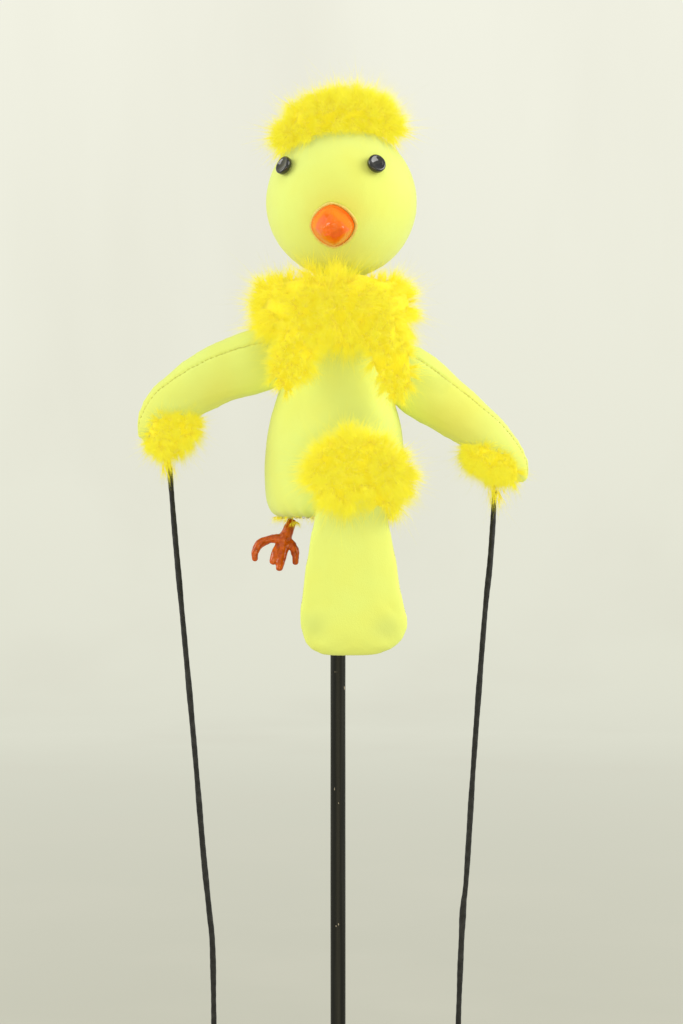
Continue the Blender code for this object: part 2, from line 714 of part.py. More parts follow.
# ---------------------------------------------------------------- wings and control rods


def along(rows, share):
    """A point on the smooth curve through rows of numbers, from 0 at the first to 1 at the last."""
    rows = [Vector(row) for row in rows]
    spot = share * (len(rows) - 1)
    i = min(int(spot), len(rows) - 2)
    t = spot - i
    b, c = rows[i], rows[i + 1]
    a = rows[i - 1] if i else b * 2 - c
    d = rows[i + 2] if i + 2 < len(rows) else c * 2 - b
    return ((2 * b) + (c - a) * t + (2 * a - 5 * b + 4 * c - d) * t * t + (3 * b - a - 3 * c + d) * t**3) / 2


def wing_solid(side, inset):
    """A stuffed wing with a rounded tip and an eased root, drawn in by an inset."""
    fine = [along(WING[side], i / 80) for i in range(81)]
    reach = [0.0]
    for a, b in zip(fine, fine[1:]):
        reach.append(reach[-1] + (b - a).to_2d().length)
    length = reach[-1] - inset
    points, radii = [], []
    stations = 11
    for step in range(stations + 1):
        s = length * (1 - math.cos(math.pi * step / stations)) / 2
        k = min(max(i for i, r in enumerate(reach) if r <= s), len(fine) - 2)
        x, z, width = fine[k].lerp(fine[k + 1], (s - reach[k]) / (reach[k + 1] - reach[k]))
        root = 0.55 + 0.45 * eased(s / 16)
        tip = max(0.12, eased((length - s) / (width * 1.1)))
        points.append((x, 0, z))
        radii.append(max(width * root * tip - inset, 1.0))
    mesh = tube(points, radii, resolution=3)
    mesh.transform(Matrix.Diagonal((1, WING_FLAT, 1, 1)))
    return mesh


def wing_cover(side, tip_hole):
    """The jersey tube round a wing, open at the root and pierced for the tip's eye."""
    mesh = wing_solid(side, 0)
    root = metres((WING[side][0][0], 0, WING[side][0][1]))
    shape = bmesh.new()
    shape.from_mesh(mesh)
    cap = [f for f in shape.faces if abs(f.normal.dot(f.calc_center_median() - root)) < 0.00001
           and (f.calc_center_median() - root).length < 0.012]
    bmesh.ops.delete(shape, geom=cap, context="FACES")
    shape.to_mesh(mesh)
    shape.free()
    cover = add(side + "_wing_cover", mesh, JERSEY_CLOTH)
    wall = cover.modifiers.new("wall", "SOLIDIFY")
    wall.thickness = JERSEY * MM
    wall.offset = -1
    return combine(cover, "DIFFERENCE", tip_hole)


def eased(share):
    """A quarter circle's height, from 0 to 1."""
    share = min(max(share, 0.0), 1.0)
    return math.sqrt(1 - (1 - share) ** 2)


def wing(side, way):
    """One wing: foam, cover, its two screw eyes and the boa cuff at its tip."""
    near = SHOULDER[side] + Vector((way, 0, 0)) * (4 * RING_R - 2 * CROSS)
    into = WING_WAY[side].normalized()
    root_eye = smooth(screw_eye(side + "_wing_eye", near, (0, 1, 0), into, 14), 60)
    tip_eye = smooth(screw_eye(side + "_tip_eye", TIP_EYE[side], (1, 0, 0), (0, 0, 1), 14), 60)
    root_hole = cylinder(near, near + into * 20, SHANK_R + GAP, 8)
    tip_hole = cylinder(TIP_EYE[side], TIP_EYE[side] + Vector((0, 0, TIP_SHANK)), SHANK_R + GAP, 8)
    core = add(side + "_wing_core", wing_solid(side, (JERSEY + 0.8) / WING_FLAT), FOAM)
    combine(core, "DIFFERENCE", root_hole, tip_hole)
    cover = wing_cover(side, tip_hole.copy())
    (x, z), (dx, dz) = CUFF[side]
    cuff = wire_ring((0, 0, 0), (0, 0, 1), CUFF_HALF, CUFF_R, 16, 7)
    cuff.transform(Matrix.Diagonal((CUFF_FLAT, 1, 1, 1)))
    turn = Vector((dx, 0, dz)).to_track_quat("Z", "Y").to_matrix().to_4x4()
    cuff.transform(Matrix.Translation(metres((x, 0, z))) @ turn)
    boa = add(side + "_tip_boa", cuff, MARABOU)
    return [smooth(core, 60), smooth(cover, 60), root_eye, tip_eye, smooth(boa, 80)]


def control_rod(side):
    """The taped wire with its top eye, and the turned grip on its lower end."""
    eye_z = TIP_EYE[side].z - (4 * RING_R - 2 * CROSS)
    top = Vector((TIP_EYE[side].x, 0, eye_z))
    shoulder = (top.x + 0.2 * (CONTROL[side][0][0] - top.x), top.z - RING_R - 4)
    count = 15
    points = [(top.x, 0, top.z - RING_R)]
    points += [(x, 0, z) for x, z in (along((shoulder, *CONTROL[side]), i / count) for i in range(count + 1))]
    wire = add(side + "_control_rod", wire_ring(top, (1, 0, 0)), BLACK_TAPE)
    combine(wire, "UNION", tube(points, [1.0] + [CONTROL_R] * (count + 1)))
    low, high = HANDLE_Z
    foot_x, head_x = CONTROL[side][-1][0], along(CONTROL[side], 0.93)[0]
    shape = ((0, high - low), (HANDLE_R - 3, high - low), (HANDLE_R - 0.5, high - low - 4), (HANDLE_R - 1, 45),
             (HANDLE_R, 15), (HANDLE_R - 2, 0), (0, 0))
    grip = add(side + "_rod_handle", turned(shape), WOOD)
    grip.location = metres((foot_x, 0, low))
    bore = cylinder((foot_x, 0, low + 30), (foot_x + (head_x - foot_x) * 0.1, 0, high + 5), CONTROL_R + 1.2)
    return [smooth(wire, 60), smooth(combine(grip, "DIFFERENCE", bore))]


# ---------------------------------------------------------------- assembly


def build():
    """Makes every piece and hangs each moving group from its joint."""
    main_rod()
    collar()
    head_ball()
    head_cover()
    neck_tie()
    eye("left_eye", LEFT_EYE)
    eye("right_eye", RIGHT_EYE)
    beak()
    beak_rim()
    crest()
    body = hold(
        "torso_joint", (0, 0, SLEEVE_Z[0]), None, *sleeve_and_bushes(), base_board(), shoulder_block(),
        torso_foam(), torso_cover(), neck_boa(), tail_boa(), *torso_eyes(), hinge_wire(),
    )
    hold("tail_joint", TAIL_HINGE, body, *tail_pieces())
    for side, way in (("left", -1), ("right", 1)):
        pivot, piece = foot(side)
        hold(side + "_leg_joint", pivot, body, piece)
        out = Vector((way, 0, 0))
        down = Vector((0, 0, -1))
        sweep = SHOULDER[side] + out * RING_R
        ring = wire_ring(SHOULDER[side] + out * (2 * RING_R - CROSS), (0, 0, 1))
        link = hold(side + "_sweep_joint", sweep, body, smooth(add(side + "_shoulder_ring", ring, STEEL), 80))
        arm = hold(side + "_lift_joint", SHOULDER[side] + out * (3 * RING_R - CROSS), link, *wing(side, way))
        tip = TIP_EYE[side]
        ring = wire_ring(tip + down * (2 * RING_R - CROSS), (0, 1, 0))
        ring = smooth(add(side + "_tip_ring", ring, STEEL), 80)
        swing = hold(side + "_swing_joint", tip + down * RING_R, arm, ring)
        hold(side + "_tilt_joint", tip + down * (3 * RING_R - CROSS), swing, *control_rod(side))


build()
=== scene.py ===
"""Dresses the chick rod puppet: jersey over foam, marabou boa, lacquered clay, painted wood and taped wire.

The new pieces mostly ride on the body of the mechanism that carries them; the wing skins, the tail's puff
and the frame's own nodes stay in place without a parent. Sizes are millimetres, turned into metres by MM,
except in the finishes, whose places are metres. The beak looks towards -Y, +Z is up, and left and right are
the viewer's.
"""

import logging
import math
from collections.abc import Callable
from dataclasses import dataclass, field
from enum import Enum

import bpy
import numpy as np
from mathutils import Matrix, Vector


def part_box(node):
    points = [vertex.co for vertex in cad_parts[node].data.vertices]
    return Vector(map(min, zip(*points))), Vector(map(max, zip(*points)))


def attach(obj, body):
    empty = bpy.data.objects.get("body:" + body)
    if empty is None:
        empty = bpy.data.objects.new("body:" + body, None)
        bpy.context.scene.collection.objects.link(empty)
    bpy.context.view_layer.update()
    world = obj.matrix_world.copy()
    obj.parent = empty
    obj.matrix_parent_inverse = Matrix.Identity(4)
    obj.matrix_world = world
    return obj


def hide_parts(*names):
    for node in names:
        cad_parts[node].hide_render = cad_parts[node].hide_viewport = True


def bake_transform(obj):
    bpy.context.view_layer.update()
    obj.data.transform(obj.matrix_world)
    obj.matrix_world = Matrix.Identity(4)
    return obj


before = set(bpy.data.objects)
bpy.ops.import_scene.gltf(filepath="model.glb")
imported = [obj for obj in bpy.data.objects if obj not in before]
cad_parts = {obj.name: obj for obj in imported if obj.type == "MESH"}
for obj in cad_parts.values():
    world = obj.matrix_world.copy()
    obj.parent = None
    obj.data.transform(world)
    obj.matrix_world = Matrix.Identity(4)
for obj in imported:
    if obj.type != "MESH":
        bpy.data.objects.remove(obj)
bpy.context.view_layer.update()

MM = 0.001
WELD = 0.000002
RING_R = 3.2
RING_WIRE = 0.8
LOG = logging.getLogger("chick_puppet")

Array = np.ndarray
Colour = tuple[float, float, float]
Point = tuple[float, float, float]


class Side(Enum):
    """The viewer's left or right, with its sign along X."""

    LEFT = -1
    RIGHT = 1

    def named(self, piece: str) -> str:
        """A piece's name with its side in front."""
        return f"{self.name.lower()}_{piece}"


# ---------------------------------------------------------------- bench


def alone(obj: bpy.types.Object) -> None:
    """Selects one object and makes it the active one."""
    bpy.ops.object.select_all(action="DESELECT")
    obj.select_set(True)
    bpy.context.view_layer.objects.active = obj


def read(items: bpy.types.bpy_prop_collection, name: str, size: int) -> Array:
    """One row of numbers for each point or face, by the name of what is read."""
    flat = np.empty(len(items) * size, np.float32)
    items.foreach_get(name, flat)
    return flat.reshape(-1, size)


def points_of(obj: bpy.types.Object) -> Array:
    """A mesh's points in millimetres, one row each."""
    return read(obj.data.vertices, "co", 3).astype(float) / MM


def set_points(obj: bpy.types.Object, points: Array) -> None:
    """Moves a mesh's points to these places in millimetres."""
    obj.data.vertices.foreach_set("co", (points * MM).astype(np.float32).ravel())
    obj.data.update()


def normals_of(obj: bpy.types.Object) -> Array:
    """A mesh's normals at its points."""
    return read(obj.data.vertex_normals, "vector", 3).astype(float)


def apply_modifier(obj: bpy.types.Object, kind: str, **settings: object) -> None:
    """Adds a modifier with its settings and applies it."""
    alone(obj)
    step = obj.modifiers.new(kind.lower(), kind)
    for name, value in settings.items():
        setattr(step, name, value)
    bpy.ops.object.modifier_apply(modifier=step.name)


def refine(obj: bpy.types.Object, levels: int) -> None:
    """Rounds a mesh with applied subdivision."""
    apply_modifier(obj, "SUBSURF", levels=levels, render_levels=levels)


def facing(axis: Point) -> Array:
    """The turn that brings +Z to an axis."""
    return np.array(Vector(axis).to_track_quat("Z", "Y").to_matrix())


def linked(name: str, data: bpy.types.ID) -> bpy.types.Object:
    """A mesh, lamp or camera as an object in the scene."""
    obj = bpy.data.objects.new(name, data)
    bpy.context.scene.collection.objects.link(obj)
    return obj


def rolled(name: str, around: int, along: int, place: Callable[[Array, Array], Array],
           crease: float = 40.0) -> bpy.types.Object:
    """A sheet rolled into a closed skin, the blank of every turned, swept or stuffed piece.

    Args:
        name: the piece's name.
        around: faces round the skin.
        along: faces along it.
        place: gives millimetre points for turn and run, both arrays from 0 to 1.
        crease: corners sharper than this many degrees stay sharp.

    Returns:
        The closed mesh object, smooth and facing outwards.
    """
    bpy.ops.object.select_all(action="DESELECT")
    bpy.ops.mesh.primitive_grid_add(x_subdivisions=around, y_subdivisions=along, size=1)
    obj = bpy.context.object
    obj.name = obj.data.name = name
    sheet = points_of(obj) * MM + 0.5
    set_points(obj, place(sheet[:, 0], sheet[:, 1]))
    bpy.ops.object.mode_set(mode="EDIT")
    bpy.ops.mesh.select_all(action="SELECT")
    bpy.ops.mesh.remove_doubles(threshold=WELD)
    bpy.ops.mesh.fill_holes(sides=0)
    bpy.ops.mesh.select_all(action="SELECT")
    bpy.ops.mesh.normals_make_consistent(inside=False)
    bpy.ops.object.mode_set(mode="OBJECT")
    bpy.ops.object.shade_smooth_by_angle(angle=math.radians(crease))
    return obj


def turned(name: str, profile: Array, around: int, centre: Point = (0, 0, 0),
           axis: Point = (0, 0, 1)) -> bpy.types.Object:
    """A turned piece from (radius, height) rows, on an axis through its centre."""
    profile = np.array(profile, float)
    rows = len(profile) - 1
    turn_axis = facing(axis)

    def place(turn: Array, run: Array) -> Array:
        """Points round the profile's rows."""
        row = profile[np.rint(run * rows).astype(int)]
        angle = math.tau * turn
        local = np.stack((row[:, 0] * np.cos(angle), row[:, 0] * np.sin(angle), row[:, 1]), 1)
        return local @ turn_axis.T + np.array(centre)

    return rolled(name, around, rows, place, 35)


def arc(centre: tuple[float, float], radius: float, start: float, end: float, steps: int) -> list[tuple]:
    """Points on an arc between two angles in degrees."""
    angles = np.radians(np.linspace(start, end, steps))
    return [(centre[0] + radius * math.cos(a), centre[1] + radius * math.sin(a)) for a in angles]


def spline(rows: Array, count: int) -> Array:
    """A smooth curve through rows of numbers, resampled to a count of rows spaced evenly along it."""
    rows = np.array(rows, float)
    ends = np.vstack((2 * rows[0] - rows[1], rows, 2 * rows[-1] - rows[-2]))
    spot = np.linspace(0, len(rows) - 1, 24 * len(rows))
    i = np.minimum(spot.astype(int), len(rows) - 2)
    t = (spot - i)[:, None]
    a, b, c, d = ends[i], ends[i + 1], ends[i + 2], ends[i + 3]
    fine = (2 * b + (c - a) * t + (2 * a - 5 * b + 4 * c - d) * t**2 + (3 * b - a - 3 * c + d) * t**3) / 2
    reach = np.concatenate(([0], np.cumsum(np.linalg.norm(np.diff(fine[:, :3], axis=0), axis=1))))
    wanted = np.linspace(0, reach[-1], count)
    return np.stack([np.interp(wanted, reach, column) for column in fine.T], 1)


def frames_along(path: Array, up: Point) -> tuple[Array, Array]:
    """The two cross directions at each point of a path, carried along without twist."""
    ahead = np.gradient(path, axis=0)
    ahead /= np.linalg.norm(ahead, axis=1, keepdims=True)
    side = np.array(up, float)
    sides = []
    for way in ahead:
        side = side - way * (side @ way)
        side = side / np.linalg.norm(side)
        sides.append(side)
    sides = np.array(sides)
    return sides, np.cross(ahead, sides)


def swept(name: str, path: Array, radius: Array, around: int, up: Point, flat: float = 1.0,
          ripple: Callable[[Array, Array], Array] | None = None) -> bpy.types.Object:
    """A skin swept along a path.

    Args:
        name: the piece's name.
        path: its centre line, one point each row.
        radius: its half-width at each point.
        around: faces round it.
        up: the cross direction that flat narrows, and where turn is 0.
        flat: thickness along up for each millimetre of width.
        ripple: millimetres added to the radius for turn and run.

    Returns:
        The closed mesh object.
    """
    rows = len(path) - 1
    sides, others = frames_along(path, up)
    radius = np.broadcast_to(np.array(radius, float), (rows + 1,))

    def place(turn: Array, run: Array) -> Array:
        """Points round the path."""
        i = np.rint(run * rows).astype(int)
        angle = math.tau * turn
        r = radius[i] + (ripple(turn, run) if ripple else 0.0)
        across = sides[i] * (np.cos(angle) * r * flat)[:, None] + others[i] * (np.sin(angle) * r)[:, None]
        return path[i] + across

    return rolled(name, around, rows, place)


def ring_path(centre: Point, axis: Point, radius: float, count: int) -> Array:
    """A closed circle of points about an axis, its last the same as its first."""
    angle = np.linspace(0, math.tau, count + 1)
    flat = np.stack((np.cos(angle), np.sin(angle), np.zeros_like(angle)), 1) * radius
    return flat @ facing(axis).T + np.array(centre)


def hoop(name: str, centre: Point, axis: Point, radius: float, wire: float) -> bpy.types.Object:
    """A closed ring of round wire, its wire's half-width given."""
    round_wire, round_ring = 14, 40
    basis = facing(axis)

    def place(turn: Array, run: Array) -> Array:
        """Points round the wire and round the ring."""
        a, b = math.tau * turn, math.tau * run
        out = radius + wire * np.cos(a)
        ring = np.stack((out * np.cos(b), out * np.sin(b), wire * np.sin(a)), 1)
        return ring @ basis.T + np.array(centre)

    return rolled(name, round_wire, round_ring, place)


def repeated_mesh(name: str, points: Array, faces: list[list[int]]) -> bpy.types.Mesh:
    """A mesh of many copies of one small shape.

    Args:
        name: the mesh's name.
        points: copies by points by 3, in millimetres.
        faces: the shape's faces as lists of its own points.

    Returns:
        The mesh, shaded smooth.
    """
    total, each = points.shape[:2]
    loops = np.array([i for face in faces for i in face])
    sizes = np.array([len(face) for face in faces])
    mesh = bpy.data.meshes.new(name)
    mesh.vertices.add(total * each)
    mesh.vertices.foreach_set("co", (points * MM).astype(np.float32).ravel())
    all_loops = (loops[None] + (np.arange(total) * each)[:, None]).ravel()
    all_sizes = np.tile(sizes, total)
    mesh.loops.add(len(all_loops))
    mesh.loops.foreach_set("vertex_index", all_loops.astype(np.int32))
    mesh.polygons.add(len(all_sizes))
    starts = np.concatenate(([0], np.cumsum(all_sizes)[:-1]))
    mesh.polygons.foreach_set("loop_start", starts.astype(np.int32))
    mesh.update(calc_edges=True)
    mesh.shade_smooth()
    return mesh


def along_x(way: Array) -> Matrix:
    """The turn that brings +X to a direction."""
    return Vector(way).normalized().to_track_quat("X", "Y").to_matrix().to_4x4()


def copies(name: str, model: bpy.types.Object, places: list[Matrix]) -> bpy.types.Object:
    """One mesh of a small model repeated at many places; the model itself goes."""
    base = points_of(model)
    faces = [list(face.vertices) for face in model.data.polygons]
    bpy.data.objects.remove(model)
    points = [base @ np.array(place.to_3x3()).T + np.array(place.translation) for place in places]
    return linked(name, repeated_mesh(name, np.array(points), faces))


def joined(name: str, *pieces: bpy.types.Object) -> bpy.types.Object:
    """Several meshes as one piece."""
    bpy.ops.object.select_all(action="DESELECT")
    for piece in pieces:
        piece.select_set(True)
    bpy.context.view_layer.objects.active = pieces[0]
    bpy.ops.object.join()
    pieces[0].name = pieces[0].data.name = name
    return pieces[0]


def lumps(points: Array, size: float, seed: int) -> Array:
    """Smooth unevenness from -1 to 1 at each point, with hollows about size millimetres apart."""
    rng = np.random.default_rng(seed)
    total = np.zeros(len(points))
    for _ in range(7):
        way = rng.normal(size=3)
        way *= math.tau / size / np.linalg.norm(way) * rng.uniform(0.7, 1.3)
        total += np.sin(points @ way + rng.uniform(0, math.tau))
    return total / 4.0


def nearest(points: Array, line: Array) -> tuple[Array, Array]:
    """How far each point is from a line of close points, and which of them is nearest."""
    gap = np.full(len(points), 1e9)
    which = np.zeros(len(points), int)
    for start in range(0, len(line), 40):
        part = line[start:start + 40]
        away = np.linalg.norm(points[:, None, :] - part[None], axis=2)
        i = away.argmin(1)
        found = away[np.arange(len(points)), i]
        closer = found < gap
        gap[closer], which[closer] = found[closer], i[closer] + start
    return gap, which


def sewn(obj: bpy.types.Object, line: Array, width: float, depth: float, pucker: float = 0.3) -> None:
    """Pulls a skin in along a seam, more at each stitch."""
    points = points_of(obj)
    gap, which = nearest(points, line)
    pull = depth * np.exp(-((gap / width) ** 2)) * (1 + pucker * np.sin(which * 0.9))
    set_points(obj, points - normals_of(obj) * pull[:, None])


def laid_on(skin: bpy.types.Object, line: Array) -> Array:
    """A line brought onto a skin and smoothed."""
    points = points_of(skin)
    found = points[nearest(line, points)[1]]
    soft = np.array((1, 2, 3, 2, 1)) / 9
    inner = np.stack([np.convolve(column, soft, "valid") for column in found.T], 1)
    return np.vstack((found[:2], inner, found[-2:]))


@dataclass
class Stuffing:
    """How a foam-filled skin is swollen by cloth simulation."""

    voxel: float
    cap: float
    gain: float = 0.0
    pressure: float = 4.0
    last_frame: int = 20
    rounds: int = 2

    def swell(self, obj: bpy.types.Object, pinned: Array | None) -> None:
        """Remeshes a skin, blows it up as cloth, rounds it and adds the gain.

        Args:
            obj: the closed skin, already a little small.
            pinned: points in millimetres near which the cloth is held.
        """
        apply_modifier(obj, "REMESH", mode="VOXEL", voxel_size=self.voxel * MM)
        rest = points_of(obj)
        self.simulate(obj, rest, pinned)
        refine(obj, self.rounds)
        bpy.ops.object.shade_smooth()
        set_points(obj, points_of(obj) + normals_of(obj) * self.gain)

    def simulate(self, obj: bpy.types.Object, rest: Array, pinned: Array | None) -> None:
        """Runs the cloth and keeps each point's move within the cap."""
        cloth = obj.modifiers.new("cloth", "CLOTH")
        cloth.settings.use_pressure = True
        cloth.settings.uniform_pressure_force = self.pressure
        cloth.settings.effector_weights.gravity = 0
        cloth.settings.quality = 4
        if pinned is not None:
            gap, _ = nearest(rest, pinned)
            group = obj.vertex_groups.new(name="held")
            group.add([int(i) for i in np.nonzero(gap < self.voxel * 0.8)[0]], 1.0, "REPLACE")
            cloth.settings.vertex_group_mass = "held"
        scene = bpy.context.scene
        for number in range(1, self.last_frame + 1):
            scene.frame_set(number)
        blown = obj.evaluated_get(bpy.context.evaluated_depsgraph_get())
        move = points_of(blown) - rest
        obj.modifiers.remove(cloth)
        obj.vertex_groups.clear()
        scene.frame_set(1)
        length = np.linalg.norm(move, axis=1, keepdims=True)
        set_points(obj, rest + move * np.minimum(1.0, self.cap / np.maximum(length, 1e-6)))


def opened(obj: bpy.types.Object, keep: Callable[[Array], Array], wall: float) -> None:
    """Cuts an opening in a closed skin and gives what is left its cloth's thickness.

    Args:
        obj: the closed skin.
        keep: says which face centres, in millimetres, stay.
        wall: the cloth's thickness.
    """
    centres = read(obj.data.polygons, "center", 3).astype(float) / MM
    alone(obj)
    for face, kept in zip(obj.data.polygons, keep(centres), strict=True):
        face.select = not kept
    bpy.ops.object.mode_set(mode="EDIT")
    bpy.ops.mesh.select_mode(type="FACE")
    bpy.ops.mesh.delete(type="FACE")
    bpy.ops.object.mode_set(mode="OBJECT")
    apply_modifier(obj, "SOLIDIFY", thickness=wall * MM, offset=-1)


# ---------------------------------------------------------------- finishes


class Recipe:
    """A material whose nodes are written in short lines."""

    def __init__(self, name: str) -> None:
        """Starts a material with a Principled shader and Object coordinates."""
        self.material = bpy.data.materials.new(name)
        self.material.use_nodes = True
        self.tree = self.material.node_tree
        self.shader = self.tree.nodes["Principled BSDF"]
        self.place = self.node("ShaderNodeTexCoord").outputs["Object"]

    def node(self, kind: str, **inputs: object) -> bpy.types.Node:
        """A node with its inputs set or linked; an input's name has _ for a space."""
        made = self.tree.nodes.new(kind)
        for name, value in inputs.items():
            self.feed(made.inputs[name.replace("_", " ")], value)
        return made

    def feed(self, socket: bpy.types.NodeSocket, value: object) -> None:
        """Links a socket to another, or sets its value."""
        if isinstance(value, bpy.types.NodeSocket):
            self.tree.links.new(value, socket)
        else:
            socket.default_value = value

    def noise(self, scale: float, detail: float = 2.0, stretch: Point = (1, 1, 1)) -> bpy.types.NodeSocket:
        """Soft random variation, with scale in spots for each metre."""
        place = self.node("ShaderNodeMapping", Vector=self.place, Scale=stretch).outputs[0]
        return self.node("ShaderNodeTexNoise", Vector=place, Scale=scale, Detail=detail).outputs["Fac"]

    def cells(self, scale: float, stretch: Point = (1, 1, 1)) -> bpy.types.NodeSocket:
        """Small cells, as of knit loops or pores: 0 at the middle of each."""
        place = self.node("ShaderNodeMapping", Vector=self.place, Scale=stretch).outputs[0]
        return self.node("ShaderNodeTexVoronoi", Vector=place, Scale=scale).outputs["Distance"]

    def closeness(self, point: Point, reach: float) -> bpy.types.NodeSocket:
        """1 at a point, in metres, falling softly to 0 at this distance."""
        away = self.node("ShaderNodeVectorMath", Vector=self.place)
        away.operation = "DISTANCE"
        away.inputs[1].default_value = point
        made = self.node("ShaderNodeMapRange", Value=away.outputs["Value"], From_Min=0.0, From_Max=reach,
                         To_Min=1.0, To_Max=0.0)
        made.interpolation_type = "SMOOTHSTEP"
        return made.outputs[0]

    def attribute(self, name: str) -> bpy.types.NodeSocket:
        """A number that the mesh holds at its points."""
        made = self.node("ShaderNodeAttribute")
        made.attribute_name = name
        return made.outputs["Fac"]

    def spread(self, value: object, low: float, high: float, to_low: float = 0.0,
               to_high: float = 1.0) -> bpy.types.NodeSocket:
        """Stretches a value's range to another."""
        made = self.node("ShaderNodeMapRange", Value=value, From_Min=low, From_Max=high, To_Min=to_low,
                         To_Max=to_high)
        return made.outputs[0]

    def sum(self, operation: str, first: object, second: object) -> bpy.types.NodeSocket:
        """One sum of two values, such as ADD or MULTIPLY."""
        made = self.tree.nodes.new("ShaderNodeMath")
        made.operation = operation
        self.feed(made.inputs[0], first)
        self.feed(made.inputs[1], second)
        return made.outputs[0]

    def blend(self, share: object, first: object, second: object) -> bpy.types.NodeSocket:
        """A mix of two colours by a share from 0 to 1."""
        made = self.tree.nodes.new("ShaderNodeMix")
        made.data_type = "RGBA"
        self.feed(made.inputs[0], share)
        for socket, value in ((made.inputs[6], first), (made.inputs[7], second)):
            self.feed(socket, value if isinstance(value, bpy.types.NodeSocket) else (*value, 1))
        return made.outputs[2]

    def relief(self, height: bpy.types.NodeSocket, depth: float) -> bpy.types.NodeSocket:
        """A surface relief of so many millimetres from a height of 0 to 1."""
        return self.node("ShaderNodeBump", Height=height, Distance=depth * MM, Strength=1.0).outputs[0]

    def finish(self, **sockets: object) -> bpy.types.Material:
        """Sets the shader's own sockets and returns the material; a socket's name has _ for a space."""
        for name, value in sockets.items():
            self.feed(self.shader.inputs[name.replace("_", " ")], value)
        return self.material


@dataclass(frozen=True)
class Jersey:
    """Pale lemon stretch jersey, matt, with a fine knit and a little fuzz, with painted shade and painted
    bounce light in spots.
    """

    name: str = "jersey"
    pale: Colour = (0.80, 0.925, 0.215)
    deep: Colour = (0.81, 0.86, 0.155)
    worn: Colour = (0.66, 0.76, 0.16)
    # Painted shade: a darker greenish tint in spots at the flap's lower corners, over its hollows, and on
    # the chest under the boa.
    shade_tint: Colour = (0.58, 0.70, 0.20)
    shade_spots: tuple[tuple[Point, float, float], ...] = (
        ((-0.0205, -0.068, 0.5155), 0.017, 0.38), ((0.0385, -0.068, 0.513), 0.017, 0.38),
        ((0.001, -0.048, 0.745), 0.017, 0.38),
    )
    # Painted light: a warm tint for light bounced from the beak and the boa, round the beak, under the head
    # and on the wings' lower faces.
    bounce_tint: Colour = (0.83, 0.70, 0.07)
    bounce_spots: tuple[tuple[Point, float, float], ...] = (
        ((-0.0065, -0.0605, 0.843), 0.036, 0.45), ((0.098, -0.02, 0.672), 0.055, 0.42),
        ((-0.098, -0.02, 0.698), 0.042, 0.28), ((-0.002, -0.03, 0.806), 0.045, 0.3),
    )
    loops: float = 1500.0

    def make(self) -> bpy.types.Material:
        """The material; each spot of painted shade and of painted bounce light has its place, its reach and
        its share.
        """
        work = Recipe(self.name)
        mottle = work.spread(work.noise(14, 3), 0.35, 0.7)
        colour = work.blend(mottle, self.pale, self.deep)
        patches = work.spread(work.noise(26, 4), 0.66, 0.8)
        colour = work.blend(work.sum("MULTIPLY", patches, 0.5), colour, self.worn)
        # Painted shade, then painted bounce light, spot by spot.
        for tint, spots in ((self.shade_tint, self.shade_spots), (self.bounce_tint, self.bounce_spots)):
            for spot, reach, share in spots:
                near = work.sum("MULTIPLY", work.closeness(spot, reach), share)
                colour = work.blend(near, colour, tint)
        knit = work.sum("MULTIPLY", work.cells(self.loops, (1, 1, 0.6)), 0.7)
        fuzz = work.sum("MULTIPLY", work.noise(420, 4), 0.6)
        height = work.sum("ADD", knit, fuzz)
        rough = work.spread(work.noise(60), 0.3, 0.7, 0.78, 0.95)
        return work.finish(Base_Color=colour, Roughness=rough, Normal=work.relief(height, 0.12),
                           Specular_IOR_Level=0.25, Sheen_Weight=0.25, Sheen_Roughness=0.5)


@dataclass(frozen=True)
class Marabou:
    """Dyed down: clear yellow, pale lemon at the tips, deeper gold at the string; that gold is partly
    painted shade.

    The glow stands for the light that passes through the barbs.
    """

    name: str = "marabou"
    matted: float = 0.02
    glow: float = 0.3
    deep: Colour = (0.98, 0.77, 0.014)
    middle: Colour = (0.99, 0.935, 0.02)
    tip: Colour = (0.985, 0.95, 0.10)

    def make(self) -> bpy.types.Material:
        """The material, which reads how far out each point is and its tuft's own tone."""
        work = Recipe(self.name)
        reach, tone = work.attribute("reach"), work.attribute("tone")
        # Partly painted shade: deeper gold near the string, where the barbs crowd together, on top of the
        # dye.
        near = work.blend(work.spread(reach, 0.1, 0.6), self.deep, self.middle)
        colour = work.blend(work.spread(reach, 0.55, 1.05), near, self.tip)
        colour = work.blend(work.spread(tone, 0.45, 1.0, 0.0, 0.4), colour, self.deep)
        rough = work.spread(work.noise(200), 0.3, 0.7, 0.8, 0.95)
        mat = work.relief(work.noise(700, 5, (1, 1, 0.5)), self.matted)
        return work.finish(Base_Color=colour, Roughness=rough, Normal=mat,
                           Specular_IOR_Level=0.1, Sheen_Weight=0.15, Sheen_Roughness=0.6,
                           Emission_Color=colour, Emission_Strength=self.glow)


@dataclass(frozen=True)
class Gloss:
    """A hard gloss finish over a colour that varies a little: lacquer, moulded plastic, enamel."""

    name: str
    colour: Colour
    shade: Colour
    roughness: tuple[float, float]
    grain: float
    depth: float
    coat: float

    def make(self) -> bpy.types.Material:
        """The material."""
        work = Recipe(self.name)
        spots = work.noise(self.grain, 4)
        colour = work.blend(work.spread(spots, 0.35, 0.7), self.colour, self.shade)
        rough = work.spread(work.noise(self.grain * 2), 0.3, 0.7, *self.roughness)
        return work.finish(Base_Color=colour, Roughness=rough, Normal=work.relief(spots, self.depth),
                           Specular_IOR_Level=0.3, Coat_Weight=self.coat, Coat_Roughness=0.06)


